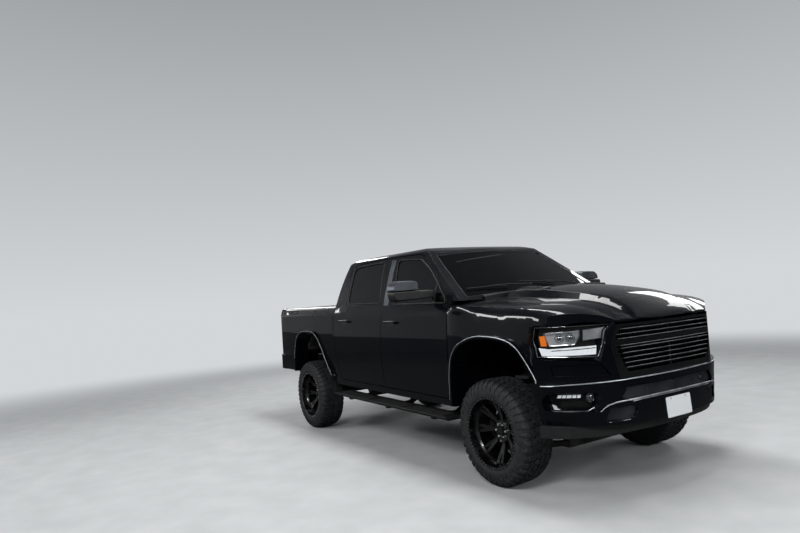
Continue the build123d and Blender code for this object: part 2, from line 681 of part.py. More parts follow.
# Ladder frame: two rails that rise over the axles, joined by crossmembers
RAIL_OUTER_Y = 452
RAIL_INNER_Y = 386
RAIL_BACK_X = TAIL_X + 110
rail_view = [
    (RAIL_BACK_X, 690, 0), (REAR_AXLE_X - 478, 690, 0), (REAR_AXLE_X - 278, 730, 0), (REAR_AXLE_X + 322, 730, 0),
    (REAR_AXLE_X + 672, 540, 0), (-700, 520, 0), (-420, 600, 0), (420, 600, 0), (560, 640, 0), (850, 640, 0),
    (850, 760, 0), (780, 760, 0), (560, 780, 0), (420, 790, 0), (-300, 790, 0), (-465, 676, 0),
    (REAR_AXLE_X + 707, 676, 0), (REAR_AXLE_X + 422, 860, 0), (REAR_AXLE_X - 378, 860, 0),
    (REAR_AXLE_X - 578, 800, 0), (RAIL_BACK_X, 800, 0),
]
MOUNT_RADIUS = 38
BODY_MOUNTS = (-760, -1500, CAB_BACK_X + 700, CAB_BACK_X + 120)
BED_MOUNTS = (REAR_AXLE_X + 472, REAR_AXLE_X - 628)
crossmember_places = [(700, 690, 60, 50), (-950, 420, 70, 45), (-1480, 610, 80, 45), (CAB_BACK_X + 450, 610, 70, 50),
                      (REAR_AXLE_X + 487, 640, 60, 45), (REAR_AXLE_X - 478, 740, 70, 50), (TAIL_X + 160, 700, 80, 70)]
with BuildPart() as frame_rails:
    for side in (1, -1):
        near, far = sorted((side * RAIL_INNER_Y, side * RAIL_OUTER_Y))
        add(along_side(rail_view, near, far))
    for along, low, length, height in crossmember_places:
        add(box(along - length / 2, along + length / 2, -RAIL_INNER_Y - 5, RAIL_INNER_Y + 5, low, low + height))
    for side in (1, -1):
        for along in BODY_MOUNTS:
            add(rod((along, side * 420, 640), (along, side * 420, FLOOR_Z - FLOOR_THICKNESS), MOUNT_RADIUS))
        for along in BED_MOUNTS:
            add(rod((along, side * 420, 780), (along, side * 420, BED_FLOOR_Z - FLOOR_SHEET), MOUNT_RADIUS))
        add(box(-985, -915, side * RAIL_INNER_Y, side * RAIL_OUTER_Y, 420, 560))

# Engine as one plain block on its two mounts
with BuildPart() as engine_block:
    add(box(-400, 250, -270, 270, 640, 1230))
    add(box(-60, 60, -RAIL_INNER_Y, RAIL_INNER_Y, 680, 740))
place(engine_block.part, "engine_block")

# Nose frame and radiator that carry the grille, lamps and bumper
with BuildPart() as nose_frame:
    add(frame_rails.part)
    add(box(780, 830, -580, 580, 760, 800))
    add(box(780, 834, -580, 580, 1230, 1270))
    for side in (1, -1):
        add(box(790, 834, side * 540, side * 580, 780, 1250))
    add(box(800, 835, -535, 535, 800, 1230))
    for side in (1, -1):
        bumper_bracket = box(800, 1000, side * RAIL_INNER_Y, side * (RAIL_OUTER_Y + 30), 650, 750)
        add(bumper_bracket & bumper_block(BUMPER_THICKNESS))
place(nose_frame.part, "frame_rails")

# Gearbox, transfer case and both propeller shafts
REAR_DIFF_NOSE = (REAR_AXLE_X + 250, TYRE_RADIUS + 10)
SHAFT_RADIUS = 42
transfer_back = raked(-1420, 560)
transfer_front = raked(-1080, 520)
nose_end = rod((REAR_AXLE_X + 100, 0, TYRE_RADIUS), (REAR_DIFF_NOSE[0], 0, REAR_DIFF_NOSE[1]), 62)
with BuildPart() as driveline:
    add(rod((-400, 0, 640), (-476, 0, 640), 172).rotate(RAKE_AXIS, RAKE))
    add(box(-1120, -476, -100, 100, 466, 676).rotate(RAKE_AXIS, RAKE))
    add(box(-1420, -1080, -110, 250, 470, 640).rotate(RAKE_AXIS, RAKE))
    add(rod((transfer_back[0] + 5, 0, transfer_back[1]), (REAR_DIFF_NOSE[0] - 5, 0, REAR_DIFF_NOSE[1]), SHAFT_RADIUS)
        - nose_end)
place(driveline.part, "driveline", False)

# Rear axle: tube, differential and hub ends
AXLE_TUBE_RADIUS = 45
AXLE_END_Y = 800
DIFF_RADIUS = 150
with BuildPart() as rear_axle:
    add(rod((REAR_AXLE_X, -AXLE_END_Y, TYRE_RADIUS), (REAR_AXLE_X, AXLE_END_Y, TYRE_RADIUS), AXLE_TUBE_RADIUS))
    add(rod((REAR_AXLE_X, -110, TYRE_RADIUS), (REAR_AXLE_X, 110, TYRE_RADIUS), DIFF_RADIUS))
    add(nose_end)
    for side in (1, -1):
        add(rod((REAR_AXLE_X, side * (AXLE_END_Y - 12), TYRE_RADIUS), (REAR_AXLE_X, side * (HUB_FACE_Y + 22), TYRE_RADIUS),
                STUB_RADIUS))
        add(rod((REAR_AXLE_X, side * (AXLE_END_Y - 16), TYRE_RADIUS), (REAR_AXLE_X, side * AXLE_END_Y, TYRE_RADIUS), 100))
        add(box(REAR_AXLE_X - 70, REAR_AXLE_X + 70, side * 470, side * 590, TYRE_RADIUS + 30, TYRE_RADIUS + 62))
place(rear_axle.part, "rear_axle", False)

# Springs and struts
LOWER_BALL_Z = TYRE_RADIUS - 143
UPPER_BALL_Z = TYRE_RADIUS + 227
BALL_PIN_RADIUS = 11
SPRING_Y = 530


def spring(foot, head, turns, coil_radius, core_radius):
    # a coil spring drawn as a stack of rings round its core
    run = Vector(*head) - Vector(*foot)
    pitch = run.length / turns
    rows = [(0, 0, 0)]
    for turn in range(turns):
        rows += [(core_radius, turn * pitch, 0), (coil_radius, (turn + 0.5) * pitch, 0)]
    rows += [(core_radius, run.length, 0), (0, run.length, 0)]
    frame = Plane(origin=foot, z_dir=run)
    with BuildPart() as coil:
        with BuildSketch(Plane.XZ):
            with BuildLine():
                trace(rows)
            make_face()
        revolve(axis=Axis.Z)
    return coil.part.moved(frame.location)


rear_seat_z = raked(REAR_AXLE_X, 860)[1]
rear_spring = spring((REAR_AXLE_X, SPRING_Y, TYRE_RADIUS + 62), (REAR_AXLE_X, SPRING_Y, rear_seat_z - 20), 6, 68, 48)
rear_perch = box(REAR_AXLE_X - 75, REAR_AXLE_X + 75, RAIL_OUTER_Y, SPRING_Y + 70, rear_seat_z - 20, rear_seat_z)
STRUT_Y = 600
COIL_RADIUS = 72
front_strut = spring((0, STRUT_Y, TYRE_RADIUS + 75), (0, STRUT_Y, 830), 6, COIL_RADIUS, 48)
front_strut = front_strut + box(-80, 80, RAIL_OUTER_Y, STRUT_Y + 60, 826, 850)
front_strut = front_strut + box(-80, 80, RAIL_OUTER_Y, RAIL_OUTER_Y + 20, 700, 830)
# a fork over the half shaft joins the strut to the lower arm
front_strut = front_strut + box(-64, 64, STRUT_Y - 25, STRUT_Y + 25, TYRE_RADIUS + 57, TYRE_RADIUS + 77)
for front, back in ((-64, -38), (38, 64)):
    front_strut = front_strut + box(front, back, STRUT_Y - 25, STRUT_Y + 25, LOWER_BALL_Z - 10, TYRE_RADIUS + 61)
springs = [rear_spring + rear_perch, front_strut]
place(Compound(children=springs + [mirror(part, Plane.XZ) for part in springs]), "springs", False)

# Front suspension arms with the differential between them
lower_arm_plan = [(RAIL_INNER_Y, -210, 0), (KINGPIN_Y, -26, 14), (KINGPIN_Y, 26, 0), (RAIL_INNER_Y, 210, 0),
                  (RAIL_INNER_Y, 150, 0), (520, 20, 0), (520, -20, 0), (RAIL_INNER_Y, -150, 0)]
upper_arm_plan = [(RAIL_OUTER_Y, -150, 0), (590, -140, 0), (690, -52, 0), (730, -24, 0), (KINGPIN_Y, -22, 12),
                  (KINGPIN_Y, 22, 0), (730, 24, 0), (690, 52, 0), (590, 140, 0), (RAIL_OUTER_Y, 150, 0),
                  (RAIL_OUTER_Y, 112, 0), (STRUT_Y, COIL_RADIUS + 6, -COIL_RADIUS - 6),
                  (STRUT_Y, -COIL_RADIUS - 6, 0), (RAIL_OUTER_Y, -112, 0)]
with BuildPart() as front_arms:
    add(over_plan(lower_arm_plan, LOWER_BALL_Z - 50, LOWER_BALL_Z - 10))
    add(over_plan(upper_arm_plan, UPPER_BALL_Z + 8, UPPER_BALL_Z + 34))
    with Locations((0, KINGPIN_Y, TYRE_RADIUS)):
        Cylinder(BALL_PIN_RADIUS + RUNNING_CLEARANCE, 600, mode=Mode.SUBTRACT)
place(Compound(children=[front_arms.part, mirror(front_arms.part, Plane.XZ)]), "front_arms", False)

# Front differential in its own crossmembers, with a half shaft to each hub
HALF_SHAFT_RADIUS = 18
with BuildPart() as front_differential:
    add(rod((20, -60, TYRE_RADIUS - 10), (20, 240, TYRE_RADIUS - 10), 105))
    add(rod((-80, 110, TYRE_RADIUS), (transfer_front[0] - 5, 190, transfer_front[1]), 34)
        - box(-1420, -1080, -110, 250, 470, 640).rotate(RAKE_AXIS, RAKE))
    for along in (-180, 180):
        add(box(along - 35, along + 35, -330, 330, TYRE_RADIUS - 210, TYRE_RADIUS - 105))
        for side in (1, -1):
            near, far = sorted((side * RAIL_INNER_Y, side * 310))
            add(box(along - 35, along + 35, near, far, TYRE_RADIUS - 210, 640))
    add(box(-180, 180, -60, 240, TYRE_RADIUS - 135, TYRE_RADIUS - 90))
    for side in (1, -1):
        add(rod((0, side * 55, TYRE_RADIUS), (0, side * (KINGPIN_Y - 70), TYRE_RADIUS), HALF_SHAFT_RADIUS))
        add(rod((0, side * (KINGPIN_Y - 145), TYRE_RADIUS), (0, side * (KINGPIN_Y - 82), TYRE_RADIUS), 42))
place(front_differential.part, "front_differential", False)

# Steering knuckle with its stub and brake caliper
KNUCKLE_OUTER_Y = 812
CALIPER_INNER = 108
CALIPER_OUTER = 236
DISC_RADIUS = 176
DISC_Y = 838
DISC_HALF_THICKNESS = 14
with BuildPart() as knuckle:
    with BuildSketch(Plane.XZ.offset(-KNUCKLE_OUTER_Y)):
        with BuildLine():
            trace([(-48, LOWER_BALL_Z, 0), (48, LOWER_BALL_Z, 0), (70, TYRE_RADIUS, 0), (34, UPPER_BALL_Z, 0),
                   (-34, UPPER_BALL_Z, 0), (-70, TYRE_RADIUS, 0)])
        make_face()
    extrude(amount=KNUCKLE_OUTER_Y - KINGPIN_Y + 28)
    add(rod((0, KINGPIN_Y - 20, TYRE_RADIUS), (0, KNUCKLE_OUTER_Y + 5, TYRE_RADIUS), 78))
    add(rod((0, KNUCKLE_OUTER_Y, TYRE_RADIUS), (0, HUB_FACE_Y + 22, TYRE_RADIUS), STUB_RADIUS))
    add(rod((0, KINGPIN_Y - 46, TYRE_RADIUS), (0, KINGPIN_Y, TYRE_RADIUS), 40))
    add(rod((0, KINGPIN_Y, LOWER_BALL_Z - 48), (0, KINGPIN_Y, LOWER_BALL_Z + 10), BALL_PIN_RADIUS))
    add(rod((0, KINGPIN_Y, UPPER_BALL_Z - 10), (0, KINGPIN_Y, UPPER_BALL_Z + 32), BALL_PIN_RADIUS))
    add(box(-190, -40, KINGPIN_Y - 20, KINGPIN_Y + 14, TYRE_RADIUS - 75, TYRE_RADIUS - 35))
    add(box(-215, -60, KINGPIN_Y, KNUCKLE_OUTER_Y, TYRE_RADIUS - 60, TYRE_RADIUS + 60))
    with BuildSketch(Plane.XZ.offset(-(KNUCKLE_OUTER_Y - 4))):
        with Locations((0, TYRE_RADIUS)):
            Circle(CALIPER_OUTER)
            Circle(CALIPER_INNER + 30, mode=Mode.SUBTRACT)
        with Locations((-200, TYRE_RADIUS)):
            Rectangle(200, 180, mode=Mode.INTERSECT)
    extrude(amount=-(HUB_FACE_Y - KNUCKLE_OUTER_Y - 6))
    add(rod((0, DISC_Y - DISC_HALF_THICKNESS - 6, TYRE_RADIUS), (0, DISC_Y + DISC_HALF_THICKNESS + 6, TYRE_RADIUS),
            DISC_RADIUS + 8) - rod((0, DISC_Y - DISC_HALF_THICKNESS - 7, TYRE_RADIUS),
                                   (0, DISC_Y + DISC_HALF_THICKNESS + 7, TYRE_RADIUS), 88), mode=Mode.SUBTRACT)
both_hands(knuckle.part, "knuckle", False)

# Wheel: a deep rim, split spokes, hub and brake disc. Rim rows: radius, place across the rim from its middle, bow
SPOKES = 8
HUB_RADIUS = 88
HUB_BACK = HUB_FACE_Y - WHEEL_Y
rim_rows = [
    (-150, RIM_RADIUS + 13, 0), (-141, RIM_RADIUS + 13, 0), (-138, RIM_RADIUS, 0), (-95, RIM_RADIUS - 3, 0),
    (-80, RIM_RADIUS - 24, 0), (60, RIM_RADIUS - 20, 0), (84, RIM_RADIUS - 3, 0), (138, RIM_RADIUS, 0),
    (141, RIM_RADIUS + 13, 0), (150, RIM_RADIUS + 13, 0), (150, RIM_RADIUS - 6, 0), (90, RIM_RADIUS - 14, 0),
    (66, RIM_RADIUS - 31, 0), (-86, RIM_RADIUS - 35, 0), (-101, RIM_RADIUS - 13, 0), (-150, RIM_RADIUS - 8, 0),
]
spoke_rows = [(HUB_RADIUS - 14, -26, 0), (RIM_RADIUS - 30, 22, 0), (RIM_RADIUS - 20, 70, 0), (RIM_RADIUS - 34, 70, 0),
              (HUB_RADIUS + 30, 16, 0), (HUB_RADIUS - 14, 16, 0)]
with BuildPart() as wheel:
    with BuildSketch(Plane.YZ):
        with BuildLine():
            trace(rim_rows[::-1])
        make_face()
    revolve(axis=Axis.Y)
    with BuildSketch(Plane.XZ.offset(-HUB_BACK)):
        Circle(HUB_RADIUS)
    extrude(amount=-52)
    for turn in range(SPOKES):
        for lean in (-9, 9):
            angle = turn * 360 / SPOKES
            spoke = prism([(radius, place_y, bow) for radius, place_y, bow in spoke_rows],
                          Plane(origin=(0, 0, -13), x_dir=(1, 0, 0), z_dir=(0, 0, 1)), 26)
            spoke = spoke.rotate(Axis((HUB_RADIUS, 0, 0), (0, 1, 0)), lean)
            add(spoke.rotate(Axis.Y, angle))
    with BuildSketch(Plane.XZ.offset(-(DISC_Y - WHEEL_Y - DISC_HALF_THICKNESS))):
        Circle(DISC_RADIUS)
        Circle(HUB_RADIUS - 14, mode=Mode.SUBTRACT)
    extrude(amount=-2 * DISC_HALF_THICKNESS)
    with BuildSketch(Plane.XZ.offset(-(DISC_Y - WHEEL_Y))):
        Circle(HUB_RADIUS - 8)
        Circle(HUB_RADIUS - 20, mode=Mode.SUBTRACT)
    extrude(amount=-(HUB_BACK - DISC_Y + WHEEL_Y + 2))
    with BuildSketch(Plane.XZ.offset(-HUB_BACK + 60)):
        Circle(STUB_RADIUS + RUNNING_CLEARANCE)
    extrude(amount=-90, mode=Mode.SUBTRACT)

# Tyre: a solid ring, its section wide at the sidewalls and flat across the tread
tyre_half = [(RIM_RADIUS, 138, 0), (RIM_RADIUS + 13, 141, 0), (RIM_RADIUS + 13, 150, 8),
             (TYRE_RADIUS - 60, TYRE_HALF_WIDTH, 3), (TYRE_RADIUS - 23, TYRE_HALF_WIDTH - 8, 3),
             (TYRE_RADIUS - 5, TYRE_HALF_WIDTH - 30, 0), (TYRE_RADIUS, TYRE_HALF_WIDTH - 62, 0)]
tyre_rows = tyre_half + [(radius, -across, bow) for (radius, across, _), bow in
                         zip(tyre_half[::-1], [row[2] for row in tyre_half[-2::-1]] + [0])]
with BuildPart() as tyre:
    with BuildSketch(Plane.XY):
        with BuildLine():
            for (radius, across, bow), (next_radius, next_across, _) in zip(tyre_rows, tyre_rows[1:] + tyre_rows[:1]):
                if bow:
                    SagittaArc((radius, across), (next_radius, next_across), bow)
                else:
                    Line((radius, across), (next_radius, next_across))
        make_face()
    revolve(axis=Axis.Y)

for along, row in ((0, "front"), (REAR_AXLE_X, "rear")):
    hub = Location((along, WHEEL_Y, TYRE_RADIUS))
    both_hands(wheel.part.moved(hub), f"{row}_wheel", False)
    both_hands(tyre.part.moved(hub), f"{row}_tyre", False)

# Exhaust: a bent pipe with a silencer, out behind the right rear wheel
PIPE_RADIUS = 34
pipe_points = [(-350, -310, 640), (-700, -300, 560), (-1300, -250, 540), (-1700, -230, 540)]
tail_points = [(CAB_BACK_X + 650, -230, 540), (REAR_AXLE_X + 822, -260, 560), (REAR_AXLE_X + 422, -290, 800),
               (REAR_AXLE_X - 228, -300, 800), (REAR_AXLE_X - 528, -330, 620), (REAR_AXLE_X - 778, -620, 590),
               (REAR_AXLE_X - 1028, -740, 590)]


def pipe(points, radii, radius):
    path = FilletPolyline(*points, radius=radii)
    start = Vector(*points[0])
    return sweep(Plane(start, z_dir=Vector(*points[1]) - start) * Circle(radius), path=path)


exhaust = pipe(pipe_points, 140, PIPE_RADIUS) + pipe(tail_points, 120, PIPE_RADIUS)
exhaust = exhaust + rod((-1690, -230, 540), (CAB_BACK_X + 640, -230, 540), 95)
place(exhaust, "exhaust")

fuel_tank = fillet(box(CAB_BACK_X + 530, -1560, 110, 375, 440, 660).edges(), 30)
place(fuel_tank, "fuel_tank")

# Running boards on three brackets a side
STEP_TOP_Z = 478
step_section = [(826, STEP_TOP_Z - 34, 0), (1020, STEP_TOP_Z - 34, 6), (1052, STEP_TOP_Z - 10, 8), (1040, STEP_TOP_Z, 0),
                (826, STEP_TOP_Z, 0)]
step_view = [(CAB_BACK_X + 20, 400, 0), (-640, 400, 0), (-600, STEP_TOP_Z - 20, 0), (-650, 520, 0),
             (CAB_BACK_X + 60, 520, 0), (CAB_BACK_X + 20, STEP_TOP_Z - 20, 0)]
step = across_body(step_section, CAB_BACK_X, -580) & along_side(step_view, 700, 1200)
bracket_section = [(RAIL_OUTER_Y, 545, 0), (700, STEP_TOP_Z - 60, 0), (1000, STEP_TOP_Z - 60, 0),
                   (1000, STEP_TOP_Z - 32, 0), (840, STEP_TOP_Z - 25, 0), (700, STEP_TOP_Z - 20, 0),
                   (RAIL_OUTER_Y, 600, 0)]
for along in (-900, -1750, CAB_BACK_X + 350):
    step = step + across_body(bracket_section, along - 30, along + 30)
place(pair(step), "running_boards")

# Mirrors: a head on a long arm from the front corner of the door window
head_rows = [(1094, 1640, 0), (1388, 1640, 4), (1390, 1668, 10), (1352, 1724, 8), (1300, 1738, 2), (1140, 1738, 10),
             (1100, 1712, 0)]
bar_rows = [(940, 1550, 0), (1330, 1540, 14), (1392, 1590, 8), (1388, 1652, 0), (930, 1650, 0)]
with BuildPart() as mirror_head:
    add(across_body(bar_rows, -930, -800))
    add(across_body(head_rows, -930, -820))
mirror_left = mirror_head.part - cab_volume
both_hands(mirror_left, "mirror")

# Seats, dashboard and steering wheel
SEAT_HEIGHT = 330
seat_view = [(-1560, FLOOR_Z, 0), (-1080, FLOOR_Z, 0), (-1060, FLOOR_Z + SEAT_HEIGHT, 10),
             (-1480, FLOOR_Z + SEAT_HEIGHT - 30, 0), (-1640, 1480, 8), (-1720, 1700, 0), (-1780, 1690, 0), (-1690, 1440, 0), (-1620, FLOOR_Z + 120, 0)]
bench_view = [(CAB_BACK_X + 290, FLOOR_Z, 0), (CAB_BACK_X + 770, FLOOR_Z, 0),
              (CAB_BACK_X + 790, FLOOR_Z + SEAT_HEIGHT, 10), (CAB_BACK_X + 350, FLOOR_Z + SEAT_HEIGHT - 20, 0),
              (CAB_BACK_X + 230, 1480, 6), (CAB_BACK_X + 210, 1640, 0), (CAB_BACK_X + 160, 1640, 0),
              (CAB_BACK_X + 160, 1000, 0)]
seats = Compound(children=[along_side(seat_view, 170, 700), along_side(seat_view, -700, -170),
                           along_side(bench_view, -760, 760)])
place(seats, "seats")
dash_view = [(-625, 1090, 0), (-625, 1120, 0), (-530, 1210, 0), (-530, 1400, 0), (-566, 1440, 0), (-700, 1488, 20),
             (-850, 1400, 0), (-830, 1250, 0), (-700, 1070, 0)]
WHEEL_CENTRE = (-1010, 390, 1290)
column_axis = (-0.88, 0, 0.475)
with BuildPart() as dashboard:
    add(along_side(dash_view, -860, 860))
    with BuildSketch(Plane(origin=WHEEL_CENTRE, x_dir=(0, 1, 0), z_dir=column_axis)):
        Circle(192)
        Circle(158, mode=Mode.SUBTRACT)
        Rectangle(330, 40)
    extrude(amount=26)
    add(rod(WHEEL_CENTRE, (-810, 390, 1182), 26))
place(dashboard.part, "dashboard")
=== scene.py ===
import bpy
import bmesh
import json
import math
from mathutils import Matrix, Quaternion, Vector
from mathutils.bvhtree import BVHTree


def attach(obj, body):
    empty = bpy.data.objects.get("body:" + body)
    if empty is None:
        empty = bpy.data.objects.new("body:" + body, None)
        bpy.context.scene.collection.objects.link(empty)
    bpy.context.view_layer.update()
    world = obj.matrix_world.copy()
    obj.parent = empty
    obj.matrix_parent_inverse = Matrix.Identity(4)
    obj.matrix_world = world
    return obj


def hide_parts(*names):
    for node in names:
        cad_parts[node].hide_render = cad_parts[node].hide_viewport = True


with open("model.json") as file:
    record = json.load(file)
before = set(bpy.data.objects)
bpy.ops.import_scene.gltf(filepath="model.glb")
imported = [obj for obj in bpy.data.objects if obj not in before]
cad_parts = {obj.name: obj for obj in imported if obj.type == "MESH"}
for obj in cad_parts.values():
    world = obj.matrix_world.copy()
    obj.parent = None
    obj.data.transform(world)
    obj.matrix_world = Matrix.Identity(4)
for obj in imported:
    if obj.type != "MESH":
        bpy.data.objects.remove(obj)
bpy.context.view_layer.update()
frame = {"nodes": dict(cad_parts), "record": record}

# The truck's own measures, in metres: x = 0 at the front axle and z = 0 on the ground
truck = {
    "frontAxle": 1.94382,
    "wheelbase": 3.672,
    "tyreRadius": 0.435,
    "rake": 1.0,
    "wheelY": 0.905,
}
# Outlines below are drawn in millimetres, and these matrices bring them to the frame
millimetres = Matrix.Scale(0.001, 4)
toFrame = Matrix.Translation((truck["frontAxle"], 0, 0))
axleHeight = Matrix.Translation((0, 0, truck["tyreRadius"]))
leaning = toFrame @ axleHeight @ Matrix.Rotation(math.radians(truck["rake"]), 4, "Y") @ axleHeight.inverted()
sprung = leaning @ millimetres
unsprung = toFrame @ millimetres
acrossFlip = Matrix.Diagonal((1, -1, 1, 1))


# Small tools

def linear(hexColour):
    # an sRGB hex value as the linear colour that the shaders expect
    channels = [int(hexColour[i:i + 2], 16) / 255 for i in (1, 3, 5)]
    return tuple(c / 12.92 if c <= 0.04045 else ((c + 0.055) / 1.055) ** 2.4 for c in channels) + (1.0,)


def addNode(tree, kind, settings=None, links=None):
    # settings: sockets or properties by name; links: socket name to the output that feeds it
    node = tree.nodes.new(kind)
    for key, value in (settings or {}).items():
        if key in node.inputs:
            node.inputs[key].default_value = value
        else:
            setattr(node, key, value)
    for key, output in (links or {}).items():
        tree.links.new(output, node.inputs[key])
    return node


def newMaterial(name, colour, roughness, **sockets):
    # a Principled surface, its node tree and its shader
    material = bpy.data.materials.new(name)
    material.use_nodes = True
    shader = material.node_tree.nodes["Principled BSDF"]
    shader.inputs["Base Color"].default_value = linear(colour)
    shader.inputs["Roughness"].default_value = roughness
    for key, value in sockets.items():
        shader.inputs[key.replace("_", " ")].default_value = value
    return material, material.node_tree, shader


def objectPattern(tree, kind, scale, **settings):
    # a texture node that reads Object coordinates, which are metres in the frame
    coordinates = addNode(tree, "ShaderNodeTexCoord")
    return addNode(tree, kind, {"Scale": scale, **settings}, {"Vector": coordinates.outputs["Object"]})


def bumpFrom(tree, shader, height, distance, strength=1.0, socket="Normal"):
    # presses a pattern into the surface, this many metres deep
    bump = addNode(tree, "ShaderNodeBump", {"Distance": distance, "Strength": strength}, {"Height": height})
    tree.links.new(bump.outputs["Normal"], shader.inputs[socket])


def mottle(tree, shader, value, low, high):
    # spreads the roughness between two numbers with a pattern
    limits = {"From Min": 0.3, "From Max": 0.7, "To Min": low, "To Max": high}
    spread = addNode(tree, "ShaderNodeMapRange", limits, {"Value": value})
    tree.links.new(spread.outputs["Result"], shader.inputs["Roughness"])


def tint(tree, shader, value, darkHex, lightHex, low=0.35, high=0.7):
    # blends two colours with a pattern
    ramp = addNode(tree, "ShaderNodeValToRGB", {}, {"Fac": value})
    ramp.color_ramp.elements[0].position = low
    ramp.color_ramp.elements[0].color = linear(darkHex)
    ramp.color_ramp.elements[1].position = high
    ramp.color_ramp.elements[1].color = linear(lightHex)
    tree.links.new(ramp.outputs["Color"], shader.inputs["Base Color"])


# Materials: each has a name, colour, roughness and sockets, then its patterns with what they drive

patternOutputs = {"Noise": "Fac", "Voronoi": "Distance", "Wave": "Color"}


def moulded(name, colour, roughness, grainScale, grainDepth):
    # moulded plastic or rubber with a fine leather grain
    return name, colour, roughness, {"IOR": 1.49}, [
        ("Voronoi", grainScale, {"feature": "SMOOTH_F1"}, [(bumpFrom, grainDepth, 0.6)]),
        ("Noise", 14.0, {"Detail": 4.0}, [(mottle, roughness - 0.06, roughness + 0.1)])]


def metal(name, dark, light, roughness, scale):
    # bare or plated metal, clouded by handling and the road
    return name, light, roughness, {"Metallic": 1.0}, [
        ("Noise", scale, {"Detail": 5.0}, [(tint, dark, light, 0.3, 0.6), (mottle, roughness, roughness + 0.14)])]


def lens(name, colour, alpha):
    # injection-moulded polycarbonate lamp cover
    sockets = {"IOR": 1.58, "Coat_Weight": 0.3, "Coat_Roughness": 0.01, "Alpha": alpha}
    return name, colour, 0.03, sockets, [("Noise", 5.0, {"Detail": 0.0}, [(bumpFrom, 0.001, 0.1)])]


def diffuser(name, dark, light, glow):
    # milky acrylic with flutes 5 mm apart; a little light of its own keeps it bright in the housing
    return name, light, 0.25, {"IOR": 1.49, "Emission_Strength": glow, "Emission_Color": linear(light)}, [
        ("Wave", 60.0, {"Distortion": 0.0}, [(tint, dark, light, 0.1, 0.6), (bumpFrom, 0.0006, 0.5)])]


def makeFinish(name, colour, roughness, sockets, patterns):
    # a material, whose patterns each drive its bump, its roughness or its colour
    material, tree, shader = newMaterial(name, colour, roughness, **sockets)
    for texture, scale, settings, drives in patterns:
        pattern = objectPattern(tree, "ShaderNodeTex" + texture, scale, **settings)
        for drive, *values in drives:
            drive(tree, shader, pattern.outputs[patternOutputs[texture]], *values)
    return material


